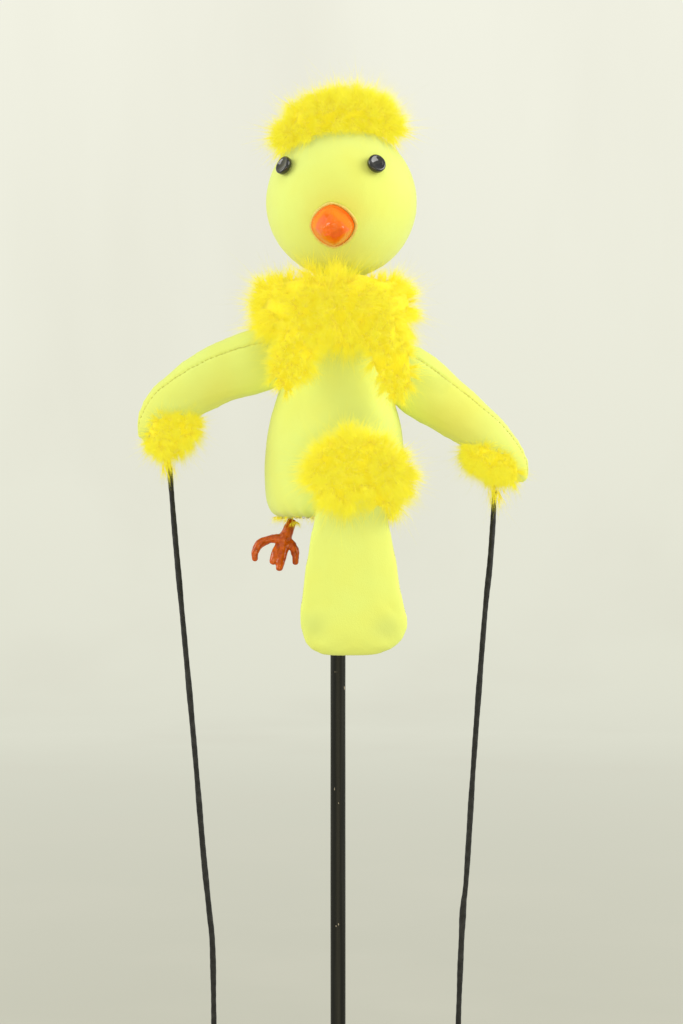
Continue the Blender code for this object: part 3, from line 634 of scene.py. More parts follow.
@dataclass(frozen=True)
class RodPaint:
    """Thin black paint on a wooden dowel, with its grain showing and a few chips."""

    name: str = "black_paint"
    black: Colour = (0.007, 0.0075, 0.0055)
    thin: Colour = (0.022, 0.022, 0.016)
    bare: Colour = (0.42, 0.36, 0.26)

    def make(self) -> bpy.types.Material:
        """The material."""
        work = Recipe(self.name)
        grain = work.noise(260, 4, (1, 1, 0.03))
        colour = work.blend(work.spread(grain, 0.45, 0.75), self.black, self.thin)
        chips = work.spread(work.noise(230, 2, (1, 1, 0.45)), 0.735, 0.75)
        colour = work.blend(chips, colour, self.bare)
        rough = work.spread(grain, 0.3, 0.7, 0.34, 0.5)
        return work.finish(Base_Color=colour, Roughness=rough, Normal=work.relief(grain, 0.12),
                           Specular_IOR_Level=0.2)


@dataclass(frozen=True)
class ClothTape:
    """Black cloth tape, woven, with a dull shine."""

    name: str = "black_tape"
    black: Colour = (0.009, 0.0095, 0.009)
    dust: Colour = (0.03, 0.031, 0.029)

    def make(self) -> bpy.types.Material:
        """The material, woven along and across the tape's own length."""
        work = Recipe(self.name)
        sheet = work.node("ShaderNodeTexCoord").outputs["UV"]
        place = work.node("ShaderNodeMapping", Vector=sheet, Scale=(1, 40, 1)).outputs[0]
        weave = work.node("ShaderNodeTexVoronoi", Vector=place, Scale=28.0).outputs["Distance"]
        colour = work.blend(work.spread(work.noise(150, 5), 0.45, 0.75), self.black, self.dust)
        rough = work.spread(work.noise(90), 0.3, 0.7, 0.42, 0.62)
        return work.finish(Base_Color=colour, Roughness=rough, Normal=work.relief(weave, 0.18),
                           Specular_IOR_Level=0.28)


@dataclass(frozen=True)
class Timber:
    """Plain or varnished wood with its grain along one direction."""

    name: str
    light: Colour
    dark: Colour
    stretch: Point = (1, 1, 0.06)
    roughness: tuple[float, float] = (0.5, 0.7)
    coat: float = 0.0

    def make(self) -> bpy.types.Material:
        """The material."""
        work = Recipe(self.name)
        grain = work.noise(160, 6, self.stretch)
        colour = work.blend(work.spread(grain, 0.38, 0.68), self.light, self.dark)
        rough = work.spread(grain, 0.3, 0.7, *self.roughness)
        return work.finish(Base_Color=colour, Roughness=rough, Normal=work.relief(grain, 0.15),
                           Coat_Weight=self.coat, Coat_Roughness=0.2)


@dataclass(frozen=True)
class Metal:
    """Plated steel wire, with faint scratches."""

    name: str = "steel"
    colour: Colour = (0.66, 0.66, 0.67)
    dull: Colour = (0.46, 0.45, 0.43)

    def make(self) -> bpy.types.Material:
        """The material."""
        work = Recipe(self.name)
        marks = work.noise(900, 4, (1, 1, 0.2))
        colour = work.blend(work.spread(marks, 0.4, 0.7), self.colour, self.dull)
        rough = work.spread(marks, 0.3, 0.7, 0.2, 0.42)
        return work.finish(Base_Color=colour, Roughness=rough, Normal=work.relief(marks, 0.02),
                           Metallic=1.0)


@dataclass(frozen=True)
class Dull:
    """A soft or matt stuff with pores or threads: foam, sewing thread, glue, plain plastic."""

    name: str
    light: Colour
    dark: Colour
    pores: float
    depth: float
    roughness: tuple[float, float] = (0.8, 0.95)

    def make(self) -> bpy.types.Material:
        """The material."""
        work = Recipe(self.name)
        holes = work.cells(self.pores)
        colour = work.blend(work.spread(holes, 0.1, 0.6), self.light, self.dark)
        rough = work.spread(work.noise(120), 0.3, 0.7, *self.roughness)
        return work.finish(Base_Color=colour, Roughness=rough, Normal=work.relief(holes, self.depth))


FINISHES = (
    Jersey(),
    Marabou(),
    Marabou("matted_marabou", matted=1.2, glow=0.16),
    RodPaint(),
    ClothTape(),
    Metal(),
    Gloss("eye_black", (0.006, 0.006, 0.008), (0.012, 0.012, 0.014),
          roughness=(0.05, 0.1), grain=40, depth=0.02, coat=0.8),
    Gloss("beak_enamel", (0.98, 0.215, 0.006), (0.92, 0.11, 0.003),
          roughness=(0.07, 0.15), grain=70, depth=0.35, coat=0.04),
    Gloss("foot_clay", (0.66, 0.115, 0.002), (0.36, 0.048, 0.001),
          roughness=(0.08, 0.2), grain=260, depth=0.5, coat=0.12),
    Timber("wood", (0.66, 0.47, 0.27), (0.47, 0.29, 0.14)),
    Timber("grip_wood", (0.03, 0.028, 0.026), (0.012, 0.012, 0.011), roughness=(0.3, 0.45), coat=0.3),
    Dull("foam", (0.88, 0.84, 0.58), (0.70, 0.64, 0.38), pores=900, depth=0.5),
    Dull("thread", (0.72, 0.66, 0.16), (0.46, 0.40, 0.08), pores=2600, depth=0.1),
    Dull("beak_bead", (0.92, 0.86, 0.28), (0.78, 0.60, 0.10),
         pores=1300, depth=0.15, roughness=(0.45, 0.7)),
    Dull("sleeve_plastic", (0.78, 0.78, 0.75), (0.68, 0.68, 0.65),
         pores=400, depth=0.03, roughness=(0.35, 0.5)),
)


@dataclass
class Finishes:
    """Every finish on the puppet, by its name."""

    made: dict[str, bpy.types.Material] = field(init=False)

    def __post_init__(self) -> None:
        """Makes each material once."""
        self.made = {finish.name: finish.make() for finish in FINISHES}

    def dress(self, obj: bpy.types.Object, slot: str, finish: str | None = None) -> bpy.types.Object:
        """Gives a new piece the finish that its slot names, or the finish given instead."""
        obj.data.materials.clear()
        obj.data.materials.append(self.made[finish or slot])
        return obj

    def dress_down(self, core: bpy.types.Object, *down: bpy.types.Object) -> list[bpy.types.Object]:
        """Gives a boa's core its matted finish and its down the loose one."""
        loose = [self.dress(piece, "marabou") for piece in down]
        return [self.dress(core, "marabou", "matted_marabou"), *loose]


# ---------------------------------------------------------------- down


@dataclass
class Down:
    """Marabou down: tufts of soft barbs that grow from a string.

    Barbs that would reach far behind, before or above the puppet are pressed together from the first to the
    second place given for that side.
    """

    seed: int
    barbs: int
    shaft: float
    barb: float
    fan: float = 0.75
    droop: float = 0.12
    thickness: float = 0.17
    stray: float = 0.09
    stray_length: float = 1.9
    stray_width: float = 0.5
    cut: float = -0.04
    back: tuple[float, float] = (58.0, 74.0)
    front: tuple[float, float] = (-82.0, -95.0)
    top: tuple[float, float] = (970.0, 986.0)

    def barb_model(self) -> tuple[Array, list[list[int]]]:
        """One barb, modelled once: a thin three-sided spike of unit length and width, with its faces."""
        bpy.ops.object.select_all(action="DESELECT")
        bpy.ops.mesh.primitive_cone_add(vertices=3, radius1=1, radius2=0, depth=1, end_fill_type="NGON")
        obj = bpy.context.object
        bpy.ops.object.mode_set(mode="EDIT")
        bpy.ops.mesh.select_all(action="SELECT")
        bpy.ops.mesh.bisect(plane_co=(0, 0, self.cut), plane_no=(0, 0, 1))
        bpy.ops.object.mode_set(mode="OBJECT")
        points = points_of(obj) * MM
        points[:, 2] += 0.5
        faces = [list(face.vertices) for face in obj.data.polygons]
        bpy.data.objects.remove(obj)
        return points, faces

    def grow(self, name: str, roots: Array, ways: Array, sizes: Array) -> bpy.types.Object:
        """A piece of down.

        Args:
            name: the piece's name.
            roots: where each tuft leaves the string.
            ways: each tuft's direction.
            sizes: each tuft's size, 1 for the lengths that the fields give.

        Returns:
            The mesh, whose points hold reach and tone for its finish.
        """
        rng = np.random.default_rng(self.seed)
        tufts, count = len(roots), self.barbs
        ways = ways / np.linalg.norm(ways, axis=1, keepdims=True)
        lean = rng.normal(size=(tufts, 3))
        lean -= ways * (lean * ways).sum(1, keepdims=True)
        lean /= np.linalg.norm(lean, axis=1, keepdims=True)
        cross = np.cross(ways, lean)

        def each(values: Array) -> Array:
            """A tuft's value for each of its barbs."""
            return np.repeat(values, count, axis=0)

        total = tufts * count
        way, size = each(ways), each(sizes)[:, None]
        start = rng.uniform(0, 1, (total, 1)) ** 0.8
        bend = each(lean * rng.uniform(0.1, 0.45, (tufts, 1))) + np.array((0, 0, -self.droop))
        root = each(roots) + self.shaft * size * (way * start + bend * start**2)
        turn = rng.uniform(0, math.tau, (total, 1))
        open_by = self.fan * (1 - 0.35 * start) * rng.uniform(0.35, 1.25, (total, 1))
        sideways = each(lean) * np.cos(turn) + each(cross) * np.sin(turn)
        out = way * np.cos(open_by) + sideways * np.sin(open_by)
        length = self.barb * size * rng.uniform(0.45, 1.15, (total, 1)) * (1 - 0.25 * start)
        stray = rng.uniform(size=(total, 1)) < self.stray
        length = np.where(stray, length * self.stray_length, length)
        curl = (way - out) * rng.uniform(0.1, 0.6, (total, 1)) + rng.normal(size=(total, 3)) * 0.13
        curl += np.array((0, 0, -self.droop))
        model, faces = self.barb_model()
        t = model[None, :, 2:3]
        centre = root[:, None] + length[:, None] * (out[:, None] * t + curl[:, None] * t**2)
        wave = np.sin(t * 7 + turn[:, None]) * t * 0.035
        centre = centre + length[:, None] * sideways[:, None] * wave
        side = np.cross(out, sideways)
        side /= np.linalg.norm(side, axis=1, keepdims=True)
        other = np.cross(out, side)
        width = self.thickness * rng.uniform(0.7, 1.3, (total, 1)) * np.where(stray, self.stray_width, 1.0)
        across = side[:, None] * model[None, :, 0:1] + other[:, None] * model[None, :, 1:2]
        points = centre + width[:, None] * across
        points[..., 1] = pressed(pressed(points[..., 1], *self.back), *self.front)
        points[..., 2] = pressed(points[..., 2], *self.top)
        reach = (start * self.shaft + self.barb * t[0, :, 0][None] * 0.9) / (self.shaft + self.barb)
        tone = np.repeat(each(rng.uniform(0, 1, tufts))[:, None] * 0.7 + rng.uniform(0, 0.3, (total, 1)),
                         len(model), axis=1)
        mesh = repeated_mesh(name, points, faces)
        for title, values in (("reach", reach), ("tone", tone)):
            mesh.attributes.new(title, "FLOAT", "POINT").data.foreach_set(
                "value", values.astype(np.float32).ravel())
        obj = linked(name, mesh)
        obj.visible_diffuse = False
        return obj


def pressed(values: Array, knee: float, limit: float) -> Array:
    """Values beyond the knee pressed smoothly together so that none passes the limit."""
    room = limit - knee
    beyond = np.maximum((values - knee) / room, 0.0)
    return np.where(beyond > 0, knee + room * np.tanh(beyond), values)


def down_core(name: str, path: Array, radius: Array, flat: float, seed: int,
              up: Point = (0, 1, 0)) -> bpy.types.Object:
    """The dense mass of down round the string, matted, with large, middling and small lumps."""
    core = swept(name, path, radius, 36, up, flat)
    points, out = points_of(core), normals_of(core)
    sizes = ((21.0, 2.2, seed + 2), (9.0, 1.2, seed), (4.0, 0.5, seed + 1))
    uneven = sum(lumps(points, apart, draw) * height for apart, height, draw in sizes)
    set_points(core, points + out * uneven[:, None])
    for title, value in (("reach", 0.3), ("tone", 0.3)):
        made = core.data.attributes.new(title, "FLOAT", "POINT")
        made.data.foreach_set("value", np.full(len(points), value, np.float32))
    return core


def loose_barbs(name: str, seed: int, roots: Array, ways: Array) -> bpy.types.Object:
    """A few long fine barbs that stand out of the down."""
    down = Down(seed, barbs=3, shaft=5, barb=30, fan=0.4, thickness=0.1, stray=0.0)
    return down.grow(name, roots, ways, np.full(len(roots), 1.0))


def tuft_sizes(rng: np.random.Generator, count: int, share: float, large: tuple[float, float],
               usual: tuple[float, float]) -> Array:
    """Random tuft sizes, of which a share is drawn from the large ones."""
    is_large = rng.uniform(size=count) < share
    return np.where(is_large, rng.uniform(*large, count), rng.uniform(*usual, count))


def spots_on(obj: bpy.types.Object, count: int, seed: int,
             keep: Callable[[Array, Array], Array]) -> tuple[Array, Array]:
    """Random places on a skin, by area.

    Args:
        obj: the skin.
        count: how many places.
        seed: for the random choice.
        keep: weighs each face from its centre and normal, 0 for one that is never chosen.

    Returns:
        The places in millimetres and the outward directions there.
    """
    faces = obj.data.polygons
    centres, normals = read(faces, "center", 3) / MM, read(faces, "normal", 3)
    weight = read(faces, "area", 1)[:, 0].astype(float) * keep(centres, normals)
    chosen = np.random.default_rng(seed).choice(len(faces), count, p=weight / weight.sum())
    return centres[chosen].astype(float), normals[chosen].astype(float)


# ---------------------------------------------------------------- studio


@dataclass(frozen=True)
class SoftBox:
    """One rectangular lamp, which the camera doesn't see."""

    name: str
    place: Point
    aim: Point
    size: tuple[float, float]
    watts: float
    colour: Colour = (1.0, 0.985, 0.95)

    def hang(self) -> None:
        """Hangs the lamp in its place and aims it."""
        data = bpy.data.lights.new(self.name, "AREA")
        data.shape = "RECTANGLE"
        data.size, data.size_y = self.size[0] * MM, self.size[1] * MM
        data.energy = self.watts
        data.color = self.colour
        lamp = linked(self.name, data)
        lamp.location = Vector(self.place) * MM
        lamp.rotation_euler = (Vector(self.place) - Vector(self.aim)).to_track_quat("Z", "Y").to_euler()
        lamp.visible_camera = False


@dataclass
class Studio:
    """A pale sweep, soft lights and the camera."""

    camera_at: Point = (2.9, -1900.0, 605.0)
    seen_height: float = 849.9
    film: float = 36.0
    floor_r: float = 4600.0
    wall_r: float = 6200.0
    wall_top: float = 7600.0
    # Painted light: the sweep's cloth glows by this share of its own colour.
    glow: float = 0.26
    # Painted shade: the floor darker than the wall and darkest near the puppet, and darker streaks of
    # painted fold shade.
    near_floor: Colour = (0.43, 0.43, 0.36)
    far_floor: Colour = (0.79, 0.80, 0.695)
    wall: Colour = (0.94, 0.945, 0.845)
    fold_shade: Colour = (0.66, 0.64, 0.55)
    surround: Colour = (1.0, 0.995, 0.96)
    surround_strength: float = 0.57
    boxes: tuple[SoftBox, ...] = (
        SoftBox("left_box", (-3000, -500, 1900), (0, 0, 640), (1900, 2100), 52.0),
        SoftBox("right_box", (2900, -700, 2000), (0, 0, 640), (1900, 2100), 66.0),
        SoftBox("top_box", (300, -1500, 2700), (0, 0, 700), (1500, 900), 5.0),
        SoftBox("low_box", (0, -1700, 120), (0, 0, 540), (1700, 500), 9.0, (1.0, 0.86, 0.52)),
    )

    def build(self) -> None:
        """Sets up the whole studio."""
        bpy.context.scene.view_settings.view_transform = "Standard"
        self.sweep()
        self.lights()
        self.camera()

    def camera(self) -> None:
        """A level camera in front of the puppet."""
        data = bpy.data.cameras.new("camera")
        data.sensor_width = self.film
        data.lens = self.film * -self.camera_at[1] / self.seen_height
        data.clip_end = 100
        camera = linked("camera", data)
        camera.location = Vector(self.camera_at) * MM
        camera.rotation_euler = (math.pi / 2, 0, 0)
        bpy.context.scene.camera = camera

    def sweep(self) -> None:
        """The seamless pale floor and wall round the puppet."""
        bend = self.wall_r - self.floor_r
        profile = [(0, 0), (600, 0), (1500, 0), (3000, 0), *arc((self.floor_r, bend), bend, -90, 0, 12),
                   (self.wall_r, 4500), (self.wall_r, self.wall_top)]
        sweep = turned("sweep", profile, 96)
        alone(sweep)
        bpy.ops.object.mode_set(mode="EDIT")
        bpy.ops.mesh.select_all(action="SELECT")
        rim = (0, 0, self.wall_top * MM - 0.01)
        bpy.ops.mesh.bisect(plane_co=rim, plane_no=(0, 0, 1), clear_outer=True)
        bpy.ops.object.mode_set(mode="OBJECT")
        sweep.data.materials.append(self.cloth())
        sweep.visible_diffuse = sweep.visible_shadow = False

    def cloth(self) -> bpy.types.Material:
        """Pale cotton with painted shade, darker on the floor and darkest near the puppet, painted fold
        shade, and a painted glow.
        """
        work = Recipe("studio_cloth")
        split = work.node("ShaderNodeSeparateXYZ", Vector=work.place)
        away = work.node("ShaderNodeVectorMath", Vector=work.place)
        away.operation = "LENGTH"
        # Painted shade: darker on the floor, most of all near the puppet, lighter up the wall.
        near = work.spread(away.outputs["Value"], 0.4, 4.4)
        floor = work.blend(near, self.near_floor, self.far_floor)
        colour = work.blend(work.spread(split.outputs["Z"], 0.0, 2.4), floor, self.wall)
        # Painted fold shade in soft upright streaks.
        fold_shading = work.sum("MULTIPLY", work.spread(work.noise(1.6, 4, (1, 1, 0.22)), 0.45, 0.8), 0.22)
        colour = work.blend(fold_shading, colour, self.fold_shade)
        # Painted glow: the cloth emits its own colour.
        return work.finish(Base_Color=colour, Roughness=0.95, Specular_IOR_Level=0.0,
                           Emission_Color=colour, Emission_Strength=self.glow)

    def lights(self) -> None:
        """Tall soft boxes at the sides, weak ones above and below, and an even pale surround."""
        for box in self.boxes:
            box.hang()
        world = bpy.data.worlds.new("surround")
        world.use_nodes = True
        surround = world.node_tree.nodes["Background"]
        surround.inputs["Color"].default_value = (*self.surround, 1)
        surround.inputs["Strength"].default_value = self.surround_strength
        bpy.context.scene.world = world


# ---------------------------------------------------------------- head


@dataclass
class Head:
    """The jersey ball with its eyes, beak and crest, fixed to the main rod."""

    finishes: Finishes
    wall: float = 1.2
    neck_r: float = 11.6
    neck_top: float = 797.2
    neck_h: float = 6.5
    neck_hole_r: float = 9.5
    pleats: tuple[int, int] = (15, 26)
    left_eye: Point = (-0.708, -0.601, 0.371)
    right_eye: Point = (0.426, -0.832, 0.358)
    eye_r: float = 7.7
    eye_h: float = 5.0
    beak_way: Point = (-0.114, -0.899, -0.423)
    beak_half: float = 17.5
    beak_tip: Point = (-0.7, -83.5, 829.5)
    beak_power: float = 1.68
    edge_h: float = 3.2
    crest_turn: tuple[float, float] = (-43, 37)
    crest_tilt: tuple[float, float] = (23, 9)
    crest_rise: tuple[float, float] = (6, 8.5)
    crest_r: tuple[float, float] = (14, 16.5)
    crest_tufts: int = 275
    body: str = "rod_and_head"
    radius: float = field(init=False)
    centre: Array = field(init=False)

    def __post_init__(self) -> None:
        """Takes the ball's place from its cover in the frame."""
        low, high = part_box("head_cover")
        self.radius = (high.x - low.x) / 2 / MM
        self.centre = np.array(((high.x + low.x) / 2 / MM, 0.0, high.z / MM - self.radius))

    def build(self) -> list[bpy.types.Object]:
        """Makes every piece of the head."""
        pieces = [self.skin(), *self.eyes(), self.beak(), self.bead(), *self.crest()]
        return [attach(piece, self.body) for piece in pieces]

    def skin(self) -> bpy.types.Object:
        """The jersey over the foam ball, pleated where it is gathered to the neck."""
        small = self.radius - 0.7
        neck_z = self.neck_top - self.centre[2]
        rows = [(small * math.sin(a), small * math.cos(a)) for a in np.linspace(0, math.radians(168), 40)]
        neck_r, low_z = self.neck_r - 0.6, neck_z - self.neck_h
        rows += [(neck_r, neck_z), (neck_r, low_z), (0, low_z)]
        skin = turned("head_skin", rows, 56, tuple(self.centre))
        Stuffing(5.4, cap=1.3).swell(skin, np.array(((self.centre[0], 0, self.neck_top - 6),)))
        points = points_of(skin)
        local = points - self.centre
        angle = np.arctan2(local[:, 1], local[:, 0])
        low = np.clip((-local[:, 2] - 0.72 * self.radius) / (0.28 * self.radius), 0, 1)
        wide, fine = self.pleats
        pleats = np.sin(angle * wide + np.sin(angle * 4)) * 0.6 + np.sin(angle * fine + 1)
        pleats = pleats * 0.55 * low**1.3
        foam = lumps(points, 46, 5) * 0.35
        set_points(skin, points + normals_of(skin) * (pleats + foam)[:, None])
        hole_top = self.neck_top + 14.5

        def stays(centres: Array) -> Array:
            """All but the neck's closed end, inside its rim."""
            away = np.hypot(centres[:, 0] - self.centre[0], centres[:, 1])
            return (away > self.neck_hole_r) | (centres[:, 2] > hole_top)

        opened(skin, stays, self.wall)
        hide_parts("head_cover")
        return self.finishes.dress(skin, "jersey")

    def eyes(self) -> list[bpy.types.Object]:
        """Two glossy black buttons with flat faces and rolled rims, on their stems."""
        made = []
        for side, way in ((Side.LEFT, self.left_eye), (Side.RIGHT, self.right_eye)):
            way = Vector(way).normalized()
            r, h = self.eye_r, self.eye_h
            face = [(0, h - 0.75), (1.6, h - 0.72), (3.2, h - 0.6), (4.6, h - 0.36), (r - 2.2, h - 0.06)]
            rim = [*arc((r - 1.6, h - 1.6), 1.6, 80, 0, 9), (r, 1.7), *arc((r - 1.4, 1.5), 1.4, 0, -80, 6)]
            stem = [(1.5, 0.15), (1.4, -13.5), (0, -14)]
            seat = Vector(self.centre) + way * (self.radius + 0.35)
            button = turned(side.named("eye_button"), face + rim + stem, 56, tuple(seat), tuple(way))
            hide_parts(side.named("eye"))
            made.append(self.finishes.dress(button, "eye_black"))
        return made

    def beak_frame(self) -> tuple[Vector, Vector, Vector, Vector]:
        """The beak's seat on the ball, and its sideways, upward and outward directions."""
        out = Vector(self.beak_way).normalized()
        side = Vector((0, 0, 1)).cross(out).normalized()
        return Vector(self.centre) + out * self.radius, side, out.cross(side), out

    def beak(self) -> bpy.types.Object:
        """A blunt four-sided point in glossy enamel, hollowed to sit on the ball."""
        seat, side, up, out = self.beak_frame()
        to_tip = Vector(self.beak_tip) - seat
        tip = (to_tip.dot(side), to_tip.dot(up), to_tip.dot(out))
        root, edge = 0.14, 0.12

        def place(turn: Array, run: Array) -> Array:
            """Points over the hollow root, up its rolled edge and on to the tip."""
            angle = math.tau * turn
            lift = np.clip((run - root) / (1 - root), 0, 1)
            rim = np.clip(lift / edge, 0, 1)
            slope = np.clip((lift - edge) / (1 - edge), 0, 1)
            power = self.beak_power - 0.38 * np.sin(slope * math.pi) + 0.32 * slope**2
            shape = (np.abs(np.cos(angle)) ** power + np.abs(np.sin(angle)) ** power) ** (-1 / power)
            blunt = 1 - slope
            taper = (1 - 0.05 * rim**3) * np.sqrt(np.clip(1 - (1 - blunt) ** 1.35, 0, 1))
            taper = taper * (0.35 + 0.65 * blunt**0.35)
            reach = self.beak_half * np.where(run < root, run / root, taper)
            x, y = shape * np.cos(angle) * reach, shape * np.sin(angle) * reach
            sunk = self.radius - np.sqrt(np.maximum(self.radius**2 - x**2 - y**2, 0)) + 0.6
            rise = self.edge_h * np.sin(rim * math.pi / 2)
            rise = rise + (tip[2] - self.edge_h) * np.sin(slope * math.pi / 2) ** 0.9
            height = np.where(run < root, -sunk, -sunk * (1 - slope) ** 2 + rise)
            height += 0.3 * np.sin(angle * 3 + 1.0) * np.sin(slope * math.pi)
            x = x + tip[0] * slope**0.8
            y = y + tip[1] * slope**0.8
            return (np.array(seat) + x[:, None] * np.array(side) + y[:, None] * np.array(up)
                    + height[:, None] * np.array(out))

        beak = rolled("beak_point", 80, 44, place, 70)
        points = points_of(beak)
        near_tip = np.exp(-((np.linalg.norm(points - (seat + out * tip[2] + up * 4), axis=1) / 9.0) ** 2))
        crumple = (lumps(points, 7, 61) * 0.65 + lumps(points, 3.5, 62) * 0.42) * near_tip
        set_points(beak, points + normals_of(beak) * crumple[:, None])
        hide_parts("beak")
        return self.finishes.dress(beak, "beak_enamel")

    def bead(self) -> bpy.types.Object:
        """The uneven bead of glue and cloth round the beak, wider on one side."""
        _, side, up, out = self.beak_frame()
        angle = np.linspace(0, math.tau, 97)[:-1]
        power = self.beak_power
        corner = (np.abs(np.cos(angle)) ** power + np.abs(np.sin(angle)) ** power) ** (1 / power)
        reach = (self.beak_half + 1.6 + 0.6 * np.cos(angle)) / corner
        way = (np.array(out) * self.radius + np.outer(np.cos(angle) * reach, np.array(side))
               + np.outer(np.sin(angle) * reach, np.array(up)))
        way /= np.linalg.norm(way, axis=1, keepdims=True)
        line = self.centre + way * (self.radius + 0.7)
        count = len(angle)

        def place(turn: Array, run: Array) -> Array:
            """Points round the bead's own thickness and round the beak."""
            i = np.rint(run * count).astype(int) % count
            thick = 0.95 + 0.16 * np.sin(i * 0.55) + 0.14 * np.sin(i * 0.21 + 1)
            a = math.tau * turn
            away = line[i] - (np.array(out) * self.radius + self.centre)
            away -= way[i] * (away * way[i]).sum(1, keepdims=True)
            away /= np.linalg.norm(away, axis=1, keepdims=True)
            across = (thick * np.cos(a) * 1.2)[:, None] * away
            return line[i] + across + (thick * np.sin(a))[:, None] * way[i]

        bead = rolled("beak_bead_ring", 12, count, place)
        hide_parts("beak_rim")
        return self.finishes.dress(bead, "beak_bead")

    def crest(self) -> list[bpy.types.Object]:
        """The puff of boa over the top of the head, ear to ear."""
        steps, tufts = 61, self.crest_tufts
        angle = np.radians(np.linspace(*self.crest_turn, steps))
        tilt = np.radians(np.linspace(*self.crest_tilt, steps))
        bend = self.radius + np.linspace(*self.crest_rise, steps)[:, None]
        path = self.centre + bend * np.stack((np.sin(angle), -np.cos(angle) * np.sin(tilt),
                                              np.cos(angle) * np.cos(tilt)), 1)
        round_off = np.clip(np.sin(np.linspace(0.1, math.pi - 0.1, steps)), 0, 1) ** 0.6
        core = down_core("crest_core", path, np.linspace(*self.crest_r, steps) * round_off, 1.15, 3)
        made = [core]
        for part, seed, share in (("front", 22, 1.0), ("back", 23, -1.0)):
            def free(centres: Array, normals: Array) -> Array:
                """The half of the core that this piece covers, clear of the head."""
                away = centres - self.centre
                away /= np.linalg.norm(away, axis=1, keepdims=True)
                outside = (normals * away).sum(1) > (-0.85 if share > 0 else -0.5)
                return outside * ((centres[:, 1] + 18) * share < 4)

            roots, out = spots_on(core, tufts, seed, free)
            rng = np.random.default_rng(seed)
            up = roots - self.centre
            up /= np.linalg.norm(up, axis=1, keepdims=True)
            ways = out + up * 0.3 + rng.normal(0, 0.28, roots.shape)
            sizes = tuft_sizes(rng, tufts, 0.1, (1.2, 1.5), (0.8, 1.15))
            down = Down(seed, barbs=50, shaft=7, barb=18)
            made.append(down.grow(f"crest_{part}_down", roots - out * 4, ways, sizes))
            made.append(loose_barbs(f"crest_{part}_wisps", seed + 60, roots[::5], ways[::5]))
        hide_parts("crest_boa")
        return self.finishes.dress_down(*made)


# ---------------------------------------------------------------- torso


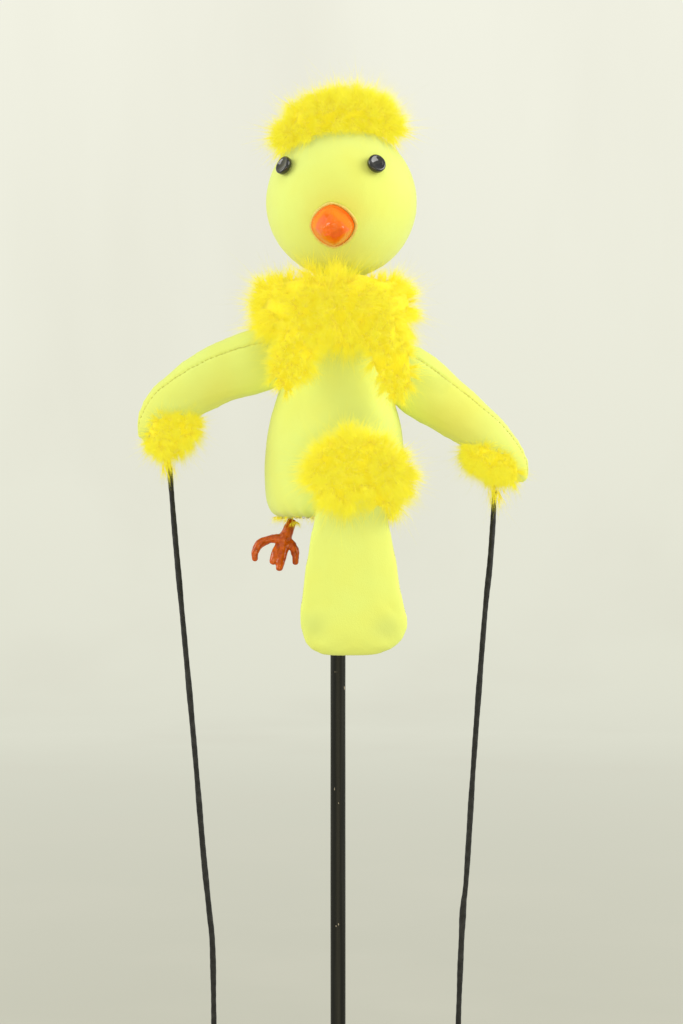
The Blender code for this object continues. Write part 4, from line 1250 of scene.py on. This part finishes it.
@dataclass
class Torso:
    """The foam body's jersey with its sewn hem, and the boa round the neck with its two hanging ends."""

    finishes: Finishes
    middle_x: float = -2.5
    flat: float = 0.82
    profile: tuple[tuple[float, float], ...] = (
        (16, 783), (20, 774), (28, 757), (40, 727), (50, 698), (56, 676), (59, 648), (58.6, 624),
        (56.6, 611), (52, 603.6), (44, 600),
    )
    hem: float = 43.0
    hem_z: float = 600.2
    hem_gathers: int = 22
    hem_stitch_count: int = 66
    fringe_tufts: int = 110
    wall: float = 1.2
    boa_half: tuple[float, float] = (46, 33)
    boa_z: float = 777
    boa_r: float = 16.0
    boa_tufts: int = 278
    end_tufts: int = 200
    boa_ends: tuple[tuple[Point, ...], ...] = (
        ((-12, -34, 774), (-27, -47, 750), (-38, -54, 724), (-43, -56, 704)),
        ((15, -34, 776), (32, -47, 752), (45, -50, 724), (51, -48, 700)),
    )
    body: str = "torso"

    def build(self) -> list[bpy.types.Object]:
        """Makes every piece of the torso that the frame's own nodes don't show."""
        pieces = [self.skin(), self.hem_stitches(), self.hem_fringe()]
        pieces += [*self.collar_boa(), *self.hanging_ends()]
        return [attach(piece, self.body) for piece in pieces]

    def side_rows(self, count: int) -> Array:
        """The body's side as rows of radius and height."""
        return spline(np.array([(r, 0, z) for r, z in self.profile]), count)[:, (0, 2)]

    def skin(self) -> bpy.types.Object:
        """The jersey over the foam body, turned in under its base."""
        rows = self.side_rows(46)
        rows[:, 0] -= 0.8
        closed = np.vstack(((0, rows[0, 1] + 0.5), rows, (30, self.hem_z), (0, self.hem_z)))
        skin = turned("torso_skin", closed, 64)
        points = points_of(skin)
        set_points(skin, points * (1, self.flat, 1) + (self.middle_x, 0, 0))
        neck = ring_path((self.middle_x, 0, 782), (0, 0, 1), 14, 24)
        Stuffing(5.0, cap=1.8).swell(skin, neck)
        points = points_of(skin)
        drape = lumps(points * (1, 1, 0.5), 60, 8) * 0.45 + lumps(points, 24, 9) * 0.12
        angle = np.arctan2(points[:, 1], points[:, 0] - self.middle_x)
        low = np.exp(-((points[:, 2] - 601) / 7.0) ** 2)
        gathers = np.sin(angle * self.hem_gathers + 2 * np.sin(angle * 3)) * 0.5 * low
        set_points(skin, points + normals_of(skin) * (drape + gathers)[:, None])
        back = np.array([(self.middle_x, (r + 0.4) * self.flat, z) for r, z in self.side_rows(200)])
        sewn(skin, back, 1.6, 0.8)

        def stays(centres: Array) -> Array:
            """All but the base inside the hem."""
            away = np.hypot(centres[:, 0] - self.middle_x, centres[:, 1] / self.flat)
            return (centres[:, 2] > 604) | (away > self.hem)

        opened(skin, stays, self.wall)
        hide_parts("torso_cover")
        return self.finishes.dress(skin, "jersey")

    def hem_stitches(self) -> bpy.types.Object:
        """Overcast stitches that hold the turned hem under the base."""
        stitch = swept("stitch", np.array(((0, 0, 0), (1.5, 0, -0.5), (3, 0, 0))), 0.3, 8, (0, 1, 0))
        places = []
        for angle in np.linspace(0, math.tau, self.hem_stitch_count, endpoint=False):
            spot = Vector((self.middle_x + (self.hem + 0.5) * math.cos(angle),
                           (self.hem + 0.5) * self.flat * math.sin(angle), self.hem_z))
            places.append(Matrix.Translation(spot) @ Matrix.Rotation(angle + 0.5, 4, "Z"))
        return self.finishes.dress(copies("hem_stitches", stitch, places), "thread")

    def hem_fringe(self) -> bpy.types.Object:
        """Loose barbs that cling round the hem."""
        rng = np.random.default_rng(19)
        tufts = self.fringe_tufts
        turn = rng.uniform(0, math.tau, tufts)
        out = np.stack((np.cos(turn), np.sin(turn) * self.flat, np.zeros(tufts)), 1)
        roots = out * rng.uniform(44, 51, (tufts, 1)) + (self.middle_x, 0, 601.5)
        ways = out * rng.uniform(0.0, 0.9, (tufts, 1)) + (0, 0, -0.8) + rng.normal(0, 0.4, roots.shape)
        down = Down(20, barbs=9, shaft=1.5, barb=9.5, fan=1.0, thickness=0.09)
        fringe = down.grow("hem_fringe", roots, ways, rng.uniform(0.6, 1.2, tufts))
        return self.finishes.dress(fringe, "marabou")

    def collar_boa(self) -> list[bpy.types.Object]:
        """The boa round the neck, in a left and a right half on one core."""
        angle = np.linspace(0, math.tau, 73)
        front = np.clip(-np.sin(angle), 0, 1) ** 2
        wide, deep = self.boa_half
        path = np.stack((self.middle_x - 1 + wide * np.cos(angle), deep * np.sin(angle),
                         self.boa_z - 4.0 * np.cos(angle) ** 2 - 7.0 * front), 1)
        core = down_core("neck_core", path, self.boa_r + 5.5 * front, 1.3, 11, (0, 0, 1))
        made = [core]
        for side in Side:
            def free(centres: Array, normals: Array) -> Array:
                """This side's half of the core, less on its inner face."""
                away = centres - (self.middle_x, 0, 779)
                inward = (normals[:, :2] * away[:, :2]).sum(1) / np.linalg.norm(away[:, :2], axis=1)
                return ((centres[:, 0] - self.middle_x) * side.value > -6) * np.clip(inward + 0.55, 0, 1)

            tufts = self.boa_tufts
            roots, out = spots_on(core, tufts, 31 + side.value, free)
            rng = np.random.default_rng(41 + side.value)
            ways = out + rng.normal(0, 0.3, roots.shape)
            sizes = tuft_sizes(rng, tufts, 0.1, (1.25, 1.7), (0.8, 1.15))
            down = Down(43 + side.value, barbs=50, shaft=7, barb=20, droop=0.14)
            made.append(down.grow(side.named("neck_down"), roots - out * 4, ways, sizes))
            made.append(loose_barbs(side.named("neck_wisps"), 34 + side.value, roots[::6], ways[::6]))
        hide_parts("neck_boa")
        return self.finishes.dress_down(*made)

    def hanging_ends(self) -> list[bpy.types.Object]:
        """The boa's two ends, which hang down the chest."""
        made = []
        steps, tufts = 40, self.end_tufts
        for side, row in zip(Side, self.boa_ends):
            path = spline(np.array(row, float), steps)
            radius = np.interp(np.arange(steps), (0, 28, 35, 39), (14, 14, 9, 1.5))
            core = down_core(side.named("end_core"), path, radius, 0.6, 13 + side.value)

            def free(_: Array, normals: Array) -> Array:
                """All but the side that lies on the chest."""
                return normals[:, 1] < 0.45

            roots, out = spots_on(core, tufts, 50 + side.value, free)
            rng = np.random.default_rng(51 + side.value)
            ways = out + (0, 0, -0.25) + rng.normal(0, 0.3, roots.shape)
            sizes = rng.uniform(0.75, 1.15, tufts)
            down = Down(60 + side.value, barbs=50, shaft=6, barb=14, droop=0.18)
            loose = down.grow(side.named("end_down"), roots - out * 3, ways, sizes)
            made += self.finishes.dress_down(core, loose)
        return made


# ---------------------------------------------------------------- tail


@dataclass
class Tail:
    """The stuffed flap on its hinge wire, with the puff of boa over the hinge."""

    finishes: Finishes
    hinge: Point = (11.6, -60.0, 631.0)
    thick: float = 16.0
    outline: tuple[tuple[float, float], ...] = (
        (-12, 627.4), (-20, 596), (-24, 572), (-28.8, 541), (-30.3, 521), (-29.3, 507.5), (-24.8, 497.5),
        (-16.5, 491.6), (-2, 489.8), (25, 489.8), (38.4, 492.6), (49, 498.4), (54.8, 507.5), (56, 519),
        (50.9, 541), (46.6, 569), (42.2, 592), (36, 627.4),
    )
    puff_middle: Point = (17.0, -67.0, 635.0)
    puff_half: tuple[float, float] = (38.0, 27.0)
    puff_flat: float = 0.5
    puff_tufts: int = 225
    round_edge: float = 9.0
    dents: tuple[tuple[tuple[float, float], float, float], ...] = (
        ((-16, 503), 9, 0.9), ((45, 503), 9, 0.9), ((14, 560), 30, -0.6),
    )
    joint_z: tuple[float, float] = (0.640, 0.604)
    rim: Array = field(init=False)

    def build(self) -> list[bpy.types.Object]:
        """Makes the flap, its seam and the puff."""
        pieces = [self.skin(), self.seam()]
        for piece in pieces:
            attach(piece, "tail")
        puff = self.puff()
        for piece in puff:
            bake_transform(piece)
        return pieces + puff

    def edge(self, count: int) -> Array:
        """The flap's rim, from one top corner round to the other."""
        return spline(np.array([(x, self.hinge[1], z) for x, z in self.outline]), count)

    def skin(self) -> bpy.types.Object:
        """The flap's jersey: a pillow with round edges, flat in the middle."""
        line = self.edge(90)
        low, high = line[:, 2].min(), line[:, 2].max()
        left, right = line[:45][::-1], line[45:]
        rings = 46
        heights = high - (high - low) * (1 - np.cos(np.linspace(0, math.pi, rings + 1))) / 2
        heights[-1] = low

        def place(turn: Array, run: Array) -> Array:
            """Points round the flap at each height."""
            i = np.rint(run * rings).astype(int)
            z = heights[i]
            x0 = np.interp(z, left[:, 2], left[:, 0]) + 0.2
            x1 = np.interp(z, right[:, 2], right[:, 0]) - 0.4
            to_end = np.minimum(np.minimum(z - low, high - z), self.round_edge)
            ends = np.sqrt(np.clip(1 - ((self.round_edge - to_end) / self.round_edge) ** 2, 0, 1))
            half = self.thick / 2 * np.where(i % rings == 0, 0.1, ends)
            angle = math.tau * turn
            bulge = np.sign(np.cos(angle)) * np.abs(np.cos(angle)) ** 0.3
            depth = np.sign(np.sin(angle)) * np.abs(np.sin(angle)) ** 0.7
            x = (x0 + x1) / 2 + (x1 - x0) / 2 * bulge
            return np.stack((x, self.hinge[1] + half * depth * 0.94, z), 1)

        skin = rolled("tail_skin", 44, rings, place, 60)
        Stuffing(4.2, cap=1.4, gain=0.5).swell(skin, line)
        points = points_of(skin)
        dents = np.zeros(len(points))
        for spot, wide, deep in self.dents:
            away = np.hypot(points[:, 0] - spot[0], points[:, 2] - spot[1])
            dents += deep * np.exp(-((away / wide) ** 2))
        set_points(skin, points + normals_of(skin) * (lumps(points, 34, 15) * 0.3 - dents)[:, None])
        sewn(skin, line, 1.5, 0.55)
        self.rim = laid_on(skin, self.edge(150)[4:-4])
        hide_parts("tail_cover", "tail_core")
        return self.finishes.dress(skin, "jersey")

    def seam(self) -> bpy.types.Object:
        """Small stitches along the flap's rim."""
        stitch = swept("stitch", np.array(((-0.75, 0, 0), (0, 0, 0.15), (0.75, 0, 0))), 0.2, 6, (0, 1, 0))
        pairs = [(a, b) for a, b in zip(self.rim, self.rim[1:]) if np.linalg.norm(b - a) > 0.3]
        places = [Matrix.Translation(Vector(a)) @ along_x(b - a) for a, b in pairs]
        return self.finishes.dress(copies("tail_stitches", stitch, places), "thread")

    def puff(self) -> list[bpy.types.Object]:
        """The bunch of boa over the hinge, whose lower barbs lie on the flap."""
        x, y, z = self.puff_middle
        wide, tall = self.puff_half
        steps, tufts = 41, self.puff_tufts
        share = np.linspace(-1, 1, steps)
        path = np.stack((x + wide * share, np.full(steps, y), z + 1.0 - 5.0 * share), 1)
        radius = tall * np.sqrt(np.clip(1 - np.abs(share) ** 2.6, 0.01, 1)) * (1 - 0.1 * np.sin(share * 4))
        core = down_core("puff_core", path, radius, self.puff_flat, 17)
        points = points_of(core)
        set_points(core, points + normals_of(core) * lumps(points, 27, 18)[:, None] * 2.6)
        made = [core]
        for part, seed, share in (("upper", 72, 1.0), ("lower", 73, -1.0)):
            def free(centres: Array, normals: Array) -> Array:
                """The half of the core that this piece covers, clear of the body."""
                return (normals[:, 1] < 0.35) * ((centres[:, 2] - z) * share > -4)

            roots, out = spots_on(core, tufts, seed, free)
            rng = np.random.default_rng(seed)
            ways = out + (0, -0.12, 0) + rng.normal(0, 0.28, roots.shape)
            sizes = rng.uniform(0.8, 1.2, tufts) * np.where(out[:, 1] < -0.75, 0.7, 1.0)
            down = Down(seed + 5, barbs=50, shaft=7, barb=19)
            made.append(down.grow(f"puff_{part}_down", roots - out * 4, ways, sizes))
        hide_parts("tail_boa")
        return self.finishes.dress_down(*made)


# ---------------------------------------------------------------- wings


@dataclass
class Wing:
    """One stuffed wing with its seam and the cuff of boa at its tip."""

    finishes: Finishes
    side: Side
    line: tuple[tuple[float, float, float], ...]
    shoulder: tuple[float, float]
    seam_turn: tuple[float, float, float]
    cuff_middle: Point
    cuff_axis: Point
    cuff_half: tuple[float, float]
    tip_eye: tuple[float, float]
    flat: float = 0.62
    cuff_tufts: int = 230
    hanging_tufts: int = 34
    seam: Array = field(init=False)

    def build(self) -> list[bpy.types.Object]:
        """Makes the wing's cover, seam, cuff and tip hardware."""
        body = self.side.named("wing")
        skin = self.skin()
        self.side.named("shoulder")
        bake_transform(skin)
        pieces = [self.stitches(), *self.cuff(), self.tip_screw()]
        for piece in pieces:
            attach(piece, body)
        ring = self.tip_ring()
        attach(ring, self.side.named("tip"))
        return [skin, *pieces, ring]

    def middle(self, count: int) -> tuple[Array, Array]:
        """The wing's centre line and its half-width at each point."""
        rows = spline(np.array([(x, 0, z, w) for x, z, w in self.line]), count)
        share = np.linspace(0, 1, count)
        length = np.linalg.norm(np.diff(rows[:, :3], axis=0), axis=1).sum()
        to_tip = np.clip((1 - share) * length / (rows[:, 3] * 1.15), 0, 1)
        width = rows[:, 3] * np.sqrt(np.clip(1 - (1 - to_tip) ** 2, 0.003, 1))
        from_root = np.clip(share * length / 12, 0, 1)
        width *= 0.5 + 0.5 * np.sqrt(np.clip(1 - (1 - from_root) ** 2, 0, 1))
        return rows[:, :3], width

    def skin(self) -> bpy.types.Object:
        """The jersey over the foam, reaching past the hooks to the body."""
        path, width = self.middle(64)
        small = np.maximum(width - 0.8, 0.4)
        skin = swept(self.side.named("wing_skin"), path, small, 36, (0, 1, 0), self.flat)
        Stuffing(4.0, cap=1.5, gain=1.6).swell(skin, None)
        points = points_of(skin)
        soft = lumps(points, 30, 23 + self.side.value) * 0.35 + lumps(points, 12, 25) * 0.08
        set_points(skin, points + normals_of(skin) * soft[:, None])
        seam = laid_on(skin, self.seam_line(260))
        sewn(skin, seam, 1.0, 1.0, 0.35)
        sewn(skin, laid_on(skin, seam * (1, -1, 1)), 1.0, 0.6, 0.35)
        self.seam = laid_on(skin, seam)
        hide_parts(self.side.named("wing_cover"))
        return self.finishes.dress(skin, "jersey")

    def seam_line(self, count: int) -> Array:
        """The seam along the wing's front, nearer the upper edge towards the tip."""
        path, width = self.middle(count)
        sides, others = frames_along(path, (0, 1, 0))
        share = np.linspace(0, 1, count)
        start, end, power = self.seam_turn
        turn = np.radians(start + (end - start) * share**power)
        upward = np.sign(others[:, 2:3])
        return (path - sides * (width * self.flat * np.cos(turn))[:, None]
                + others * upward * (width * np.sin(turn))[:, None])

    def stitches(self) -> bpy.types.Object:
        """Fine running stitches sunk in the seam."""
        line = self.seam[26:-4:4]
        stitch = swept("stitch", np.array(((-0.8, 0, 0), (0, 0, 0.1), (0.8, 0, 0))), 0.2, 6, (0, 1, 0))
        places = [Matrix.Translation(Vector((a + b) / 2)) @ along_x(b - a) for a, b in zip(line, line[1:])]
        return self.finishes.dress(copies(self.side.named("wing_stitches"), stitch, places), "thread")

    def cuff(self) -> list[bpy.types.Object]:
        """The bunch of boa under the wing's tip, with barbs hanging over the hook."""
        centre = np.array(self.cuff_middle)
        along = np.array(Vector(self.cuff_axis).normalized())
        half, tall = self.cuff_half
        share = np.linspace(-1, 1, 41)
        path = centre + np.outer(share * half, along)
        radius = tall * np.sqrt(np.clip(1 - np.abs(share) ** 2.6, 0.01, 1))
        core = down_core(self.side.named("cuff_core"), path, radius, 1.15, 33 + self.side.value)

        def free(_: Array, normals: Array) -> Array:
            """More down on the faces that point inwards, down or forwards, away from the wing."""
            outside = normals[:, 0] * self.side.value * 0.6 + normals[:, 2] * 0.8
            return np.clip(0.75 - outside - normals[:, 1] * 0.9, 0, 1)

        tufts, hanging = self.cuff_tufts, self.hanging_tufts
        roots, out = spots_on(core, tufts, 80 + self.side.value, free)
        rng = np.random.default_rng(81 + self.side.value)
        ways = out + (0, 0, -0.1) + rng.normal(0, 0.3, roots.shape)
        sizes = tuft_sizes(rng, tufts, 0.08, (1.2, 1.5), (0.75, 1.1))
        down = Down(90 + self.side.value, barbs=50, shaft=5, barb=12.5)
        down = down.grow(self.side.named("cuff_down"), roots - out * 3, ways, sizes)
        x, z = self.tip_eye
        roots = np.stack((rng.normal(x, 3.2, hanging), rng.uniform(-9, -5, hanging),
                          rng.uniform(z - 15, z + 3, hanging)), 1)
        ways = np.stack((rng.normal(0, 0.3, hanging), rng.normal(0, 0.15, hanging),
                         np.full(hanging, -1.0)), 1)
        wisps = Down(93 + self.side.value, barbs=7, shaft=4, barb=18, fan=0.4, thickness=0.14)
        wisps = wisps.grow(self.side.named("cuff_wisps"), roots, ways, np.full(hanging, 1.0))
        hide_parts(self.side.named("tip_boa"))
        return self.finishes.dress_down(core, down, wisps)

    def tip_screw(self) -> bpy.types.Object:
        """The screw eye in the wing's tip."""
        x, z = self.tip_eye
        return screw_eye(self.finishes, self.side.named("tip_screw_eye"), self.side.named("tip_eye"),
                         (x, 0, z), (1, 0, 0), (0, 0, 1), RING_R, RING_WIRE, 14)

    def tip_ring(self) -> bpy.types.Object:
        """The link between the screw eye and the arm rod."""
        x, z = self.tip_eye
        ring = hoop(self.side.named("tip_link"), (x, 0, z - 4.5), (0, 1, 0), RING_R, RING_WIRE)
        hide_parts(self.side.named("tip_ring"))
        return self.finishes.dress(ring, "steel")


def screw_eye(finishes: Finishes, name: str, node: str, centre: Point, axis: Point, towards: Point,
              radius: float, wire: float, length: float) -> bpy.types.Object:
    """A bent wire eye on a threaded shank.

    Args:
        finishes: the puppet's finishes.
        name: the piece's name.
        node: the frame's node that it stands for.
        centre: the eye's middle.
        axis: the eye's axis.
        towards: the shank's direction.
        radius: of the eye, to the middle of its wire.
        wire: the wire's radius.
        length: of the shank.

    Returns:
        The dressed piece.
    """
    pitch = 0.9
    profile = [(0, 0.0), (wire, 0.0)]
    for turn in range(int(length / pitch)):
        height = 2.0 + turn * pitch
        profile += [(wire, height), (wire + 0.35, height + 0.3), (wire, height + 0.6)]
    profile += [(wire * 0.5, height + 1.2), (0, height + 1.4)]
    start = Vector(centre) + Vector(towards) * (radius - 0.2)
    shank = turned("shank", profile[::-1], 14, tuple(start), towards)
    made = joined(name, hoop("eye", centre, axis, radius, wire), shank)
    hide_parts(node)
    return finishes.dress(made, "steel")


# ---------------------------------------------------------------- feet


@dataclass
class Foot:
    """One modelled clay foot on its ring, with the thread that ties it."""

    finishes: Finishes
    side: Side
    at_x: float
    turn: float
    eye_z: float = 604.9
    ring_r: float = 2.6
    ring_wire: float = 0.7
    voxel: float = 0.62
    plump: float = 1.32
    rolls: tuple[tuple[tuple[float, float, float, float], ...], ...] = (
        ((0.0, 0, -3.2, 2.6), (-1.6, -0.5, -8, 3.2), (-4, -1.5, -14, 3.7), (-6.3, -2, -20, 4.6),
         (-7.5, -3, -24, 4.3)),
        ((-6, -2, -20.5, 3.5), (-13, -3, -19.2, 3.0), (-20, -3, -20.5, 2.7), (-26.5, -4, -23.5, 2.9),
         (-30, -5, -28.5, 2.6), (-31, -5, -34, 2.2), (-30.2, -5, -38.5, 1.6)),
        ((-8, -3, -22, 3.3), (-12, -7, -28, 2.9), (-15, -10, -35, 2.5), (-16.2, -11, -41, 1.7)),
        ((-6, -3, -23, 4.0), (-8, -7, -30, 3.5), (-9.4, -10.5, -38, 3.1), (-10.6, -13, -46, 1.9)),
        ((-5, -2, -21.5, 3.4), (-1.5, -3, -23.2, 2.9), (1.2, -4, -27, 2.8), (2.8, -5, -33, 2.5),
         (2.7, -6, -41.5, 1.6)),
    )

    def build(self) -> list[bpy.types.Object]:
        """Makes the foot, its tie and its screw eye."""
        pieces = [self.clay(), self.tie()]
        for piece in pieces:
            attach(piece, self.side.named("leg"))
        eye = screw_eye(self.finishes, self.side.named("leg_screw_eye"), self.side.named("leg_eye"),
                        (self.at_x, 0, self.eye_z), (0, 1, 0), (0, 0, 1), self.ring_r, self.ring_wire, 5)
        return [*pieces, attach(eye, "torso")]

    def placed(self, rows: Array) -> Array:
        """Points measured from the pivot, turned and moved to this foot's place."""
        turn = np.array(Matrix.Rotation(self.turn, 3, "Z"))
        if self.side is Side.RIGHT:
            rows = rows * (-1, 1, 1)
        return rows @ turn.T + (self.at_x, 0, self.eye_z - self.ring_r)

    def clay(self) -> bpy.types.Object:
        """Rolls of clay pressed together, creased at the joints, with blunt claws."""
        parts = []
        steps = 34
        share = np.linspace(0, 1, steps)
        for number, roll in enumerate(self.rolls):
            rows = spline(np.array(roll, float) * (1, 1, 1, self.plump), steps)
            radius = rows[:, 3] * np.sqrt(np.clip(1 - np.clip((share - 0.93) / 0.07, 0, 1) ** 2, 0.04, 1))
            if number:
                radius = radius - 0.28 * np.exp(-((np.sin(share * 9.5) / 0.25) ** 2)) * (share > 0.15)
            parts.append(swept("roll", self.placed(rows[:, :3]), radius, 18, (0.3, 1, 0.2)))
        foot = joined(self.side.named("clay_foot"), *parts)
        apply_modifier(foot, "REMESH", mode="VOXEL", voxel_size=self.voxel * MM)
        apply_modifier(foot, "SMOOTH", factor=0.6, iterations=5)
        points = points_of(foot)
        marks = lumps(points, 3.6, 41) * 0.16 + lumps(points, 8, 42) * 0.2
        set_points(foot, points + normals_of(foot) * marks[:, None])
        ring_at = self.placed(np.array(((0, 0, 1.7 - self.ring_r),)))[0]
        ring = hoop("ring", tuple(ring_at), (1, 0, 0), self.ring_r, self.ring_wire)
        foot = joined(self.side.named("clay_foot"), foot, ring)
        bpy.ops.object.shade_smooth()
        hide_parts(self.side.named("foot"))
        return self.finishes.dress(foot, "foot_clay")

    def tie(self) -> bpy.types.Object:
        """A wisp of down glued round the top of the leg."""
        rng = np.random.default_rng(95 + self.side.value)
        tufts = 12
        turn = rng.uniform(0, math.tau, tufts)
        roots = self.placed(np.stack((np.cos(turn) * 2.4, np.sin(turn) * 2.4, np.full(tufts, -4.5)), 1))
        ways = np.stack((np.cos(turn) * 1.1, np.sin(turn) * 1.1, rng.uniform(-1.2, 0.1, tufts)), 1)
        wisp = Down(97 + self.side.value, barbs=22, shaft=3.0, barb=6.5, droop=0.3, thickness=0.12)
        wisp = wisp.grow(self.side.named("leg_wisp"), roots, ways, np.full(tufts, 1.0))
        return self.finishes.dress(wisp, "marabou")


# ---------------------------------------------------------------- rods


@dataclass
class MainRod:
    """The painted dowel that holds the head and carries the torso."""

    finishes: Finishes
    radius: float = 6.25
    top: float = 880.0

    def build(self) -> list[bpy.types.Object]:
        """Makes the rod."""
        r = self.radius
        side = [(r, z) for z in np.linspace(self.top - 1.2, 1.2, 180)]
        profile = [(0, self.top), (r - 1.2, self.top), *side, (r - 0.9, 0.15), (r - 1.6, 0), (0, 0)]
        rod = turned("painted_rod", profile, 48)
        points = points_of(rod)
        out = normals_of(rod) * (1, 1, 0)
        hand = lumps(points * (1, 1, 0.06), 9, 51) * 0.07 + lumps(points * (1, 1, 0.3), 16, 52) * 0.04
        set_points(rod, points + out * hand[:, None])
        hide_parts("main_rod")
        self.finishes.dress(rod, "black_paint")
        return [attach(rod, "rod_and_head")]


@dataclass
class ArmRod:
    """A steel wire wrapped lengthwise in cloth tape, with a turned grip."""

    finishes: Finishes
    side: Side
    top: tuple[float, float]
    line: tuple[tuple[float, float], ...]
    overlap_z: float
    radius: float = 2.2
    grip_z: tuple[float, float] = (20.0, 120.0)
    grip_r: float = 8.5
    grip_rings: tuple[float, ...] = (9, 13, 17)

    def build(self) -> list[bpy.types.Object]:
        """Makes the taped wire with its eye, and the grip."""
        pieces = [self.wire(), self.grip()]
        return [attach(piece, self.side.named("rod")) for piece in pieces]

    def wire(self) -> bpy.types.Object:
        """The taped wire with its lap as a low ridge, thicker where two lengths of tape meet."""
        steps = 420
        x, z = self.top
        rows = np.array([(x, 0, z - 0.8), (x + 0.2 * (self.line[0][0] - x), 0, z - 6.4),
                         *[(px, 0, pz) for px, pz in self.line]], float)
        path = spline(rows, steps)
        height = path[:, 2]
        radius = np.full(steps, self.radius) + 0.14 * np.sin(height / 17) + 0.1 * np.sin(height / 7.3 + 2)
        radius += 0.45 * np.exp(-(((height - self.overlap_z) / 12) ** 2))
        radius[:3] = (1.9, 2.1, 2.2)
        radius[-1] = 1.5

        def ripple(turn: Array, run: Array) -> Array:
            """The serrated lap and the fine waves of the tape."""
            edge = 0.12 + 0.06 * np.sin(run * 9) + 0.012 * np.abs((run * 150) % 1 - 0.5)
            lap = np.where((turn > edge) & (turn < edge + 0.4), 0.24, 0.0)
            return lap + 0.06 * np.sin(run * 400 + turn * math.tau)

        wire = swept("wire", path, radius, 22, (0, 1, 0), ripple=ripple)
        eye = hoop("eye", (x, 0, z), (1, 0, 0), RING_R, RING_WIRE)
        made = joined(self.side.named("taped_rod"), wire, eye)
        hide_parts(self.side.named("control_rod"))
        return self.finishes.dress(made, "black_tape")

    def grip(self) -> bpy.types.Object:
        """A turned grip with a rounded foot, a waist and three cut rings."""
        low, high = self.grip_z
        x = self.line[-1][0]
        r, tall = self.grip_r, high - low
        profile = [(0, tall), (2.6, tall), (3.6, tall - 0.5), *arc((r - 3.4, tall - 3.4), 2.9, 80, 5, 6)]
        for height in (tall - below for below in self.grip_rings):
            profile += [(r - 0.6, height + 1.0), (r - 1.5, height), (r - 0.6, height - 1.0)]
        waist = ((r - 0.7, 0, tall - 20), (r - 1.3, 0, 55), (r - 0.2, 0, 22), (r - 0.3, 0, 9))
        profile += [(row[0], row[2]) for row in spline(np.array(waist), 16)]
        profile += [*arc((r - 4.0, 4.0), 3.8, -10, -85, 7), (0, 0)]
        grip = turned(self.side.named("turned_grip"), profile, 48, (x, 0, low))
        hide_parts(self.side.named("rod_handle"))
        return self.finishes.dress(grip, "grip_wood")


# ---------------------------------------------------------------- assembly

WINGS = {
    Side.LEFT: dict(
        line=((-41, 737.5, 17), (-50, 735, 22.5), (-60, 732.5, 25.5), (-75, 727.5, 26.5), (-100, 718, 25),
              (-123, 705, 22.8), (-142, 690.5, 20), (-153.5, 677, 15), (-162, 664, 9)),
        shoulder=(-46, 738),
        seam_turn=(28, 60, 1.8),
        cuff_middle=(-138, -2, 672),
        cuff_axis=(0.8, 0, 0.6),
        cuff_half=(21.0, 14.5),
        tip_eye=(-141, 657),
    ),
    Side.RIGHT: dict(
        line=((43, 731, 17), (51, 725, 22.5), (61, 716.5, 25.2), (73, 706, 25.8), (95.5, 689, 23.2),
              (112, 677, 20.8), (128, 664, 18.4), (143.5, 648.5, 13.5), (155, 630.5, 8)),
        shoulder=(50, 729),
        seam_turn=(32, 62, 1.0),
        cuff_middle=(127, -2, 647.5),
        cuff_axis=(0.87, 0, -0.5),
        cuff_half=(22.0, 11.5),
        tip_eye=(129.7, 633),
    ),
}
FEET = {
    Side.LEFT: dict(at_x=-38.0, turn=0.0),
    Side.RIGHT: dict(at_x=28.0, turn=math.radians(75)),
}
ARM_RODS = {
    Side.LEFT: dict(
        top=(-141, 648.0),
        overlap_z=300,
        line=((-139.4, 634.8), (-134.9, 580), (-127.4, 498.7), (-119.3, 409.9), (-112.1, 324.4),
              (-107.1, 274.6), (-104.3, 244.7), (-103.1, 180), (-101.6, 60)),
    ),
    Side.RIGHT: dict(
        top=(129.7, 624.0),
        overlap_z=270,
        line=((128.4, 595), (125.8, 560.1), (122.5, 528.6), (117.4, 465.5), (111.9, 389.2), (106.4, 302),
              (103.3, 268.8), (99.7, 180), (96.8, 60)),
    ),
}
NODE_SLOTS = (
    (("core", "foam"), "foam"),
    (("handle",), "grip_wood"),
    (("pin", "washer", "wire", "ring", "shoulder_eye", "wing_eye", "leg_eye", "tip_eye"), "steel"),
    (("collar", "board", "block"), "wood"),
    (("tie", "loop"), "thread"),
    (("sleeve", "bush"), "sleeve_plastic"),
    (("control_rod",), "black_tape"),
    (("main_rod",), "black_paint"),
    (("boa",), "marabou"),
    (("cover",), "jersey"),
    (("rim",), "beak_bead"),
    (("beak",), "beak_enamel"),
    (("eye",), "eye_black"),
    (("foot",), "foot_clay"),
)


def dress_frame(finishes: Finishes) -> None:
    """Gives each carried-over node the finish of the first rule whose word is in its name."""
    for name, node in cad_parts.items():
        slot = next(slot for words, slot in NODE_SLOTS if any(word in name for word in words))
        for holder in node.material_slots:
            holder.material = finishes.made[slot]


def main() -> None:
    """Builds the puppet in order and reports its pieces."""
    logging.basicConfig(level=logging.INFO, format="%(name)s: %(message)s")
    Studio().build()
    finishes = Finishes()
    dress_frame(finishes)
    builders = [MainRod(finishes), Head(finishes), Torso(finishes), Tail(finishes)]
    for kind, pairs in ((Wing, WINGS), (Foot, FEET), (ArmRod, ARM_RODS)):
        builders += [kind(finishes, side, **sizes) for side, sizes in pairs.items()]
    for builder in builders:
        for piece in builder.build():
            LOG.info("%s: %d faces", piece.name, len(piece.data.polygons))


if __name__ == "__main__":
    main()
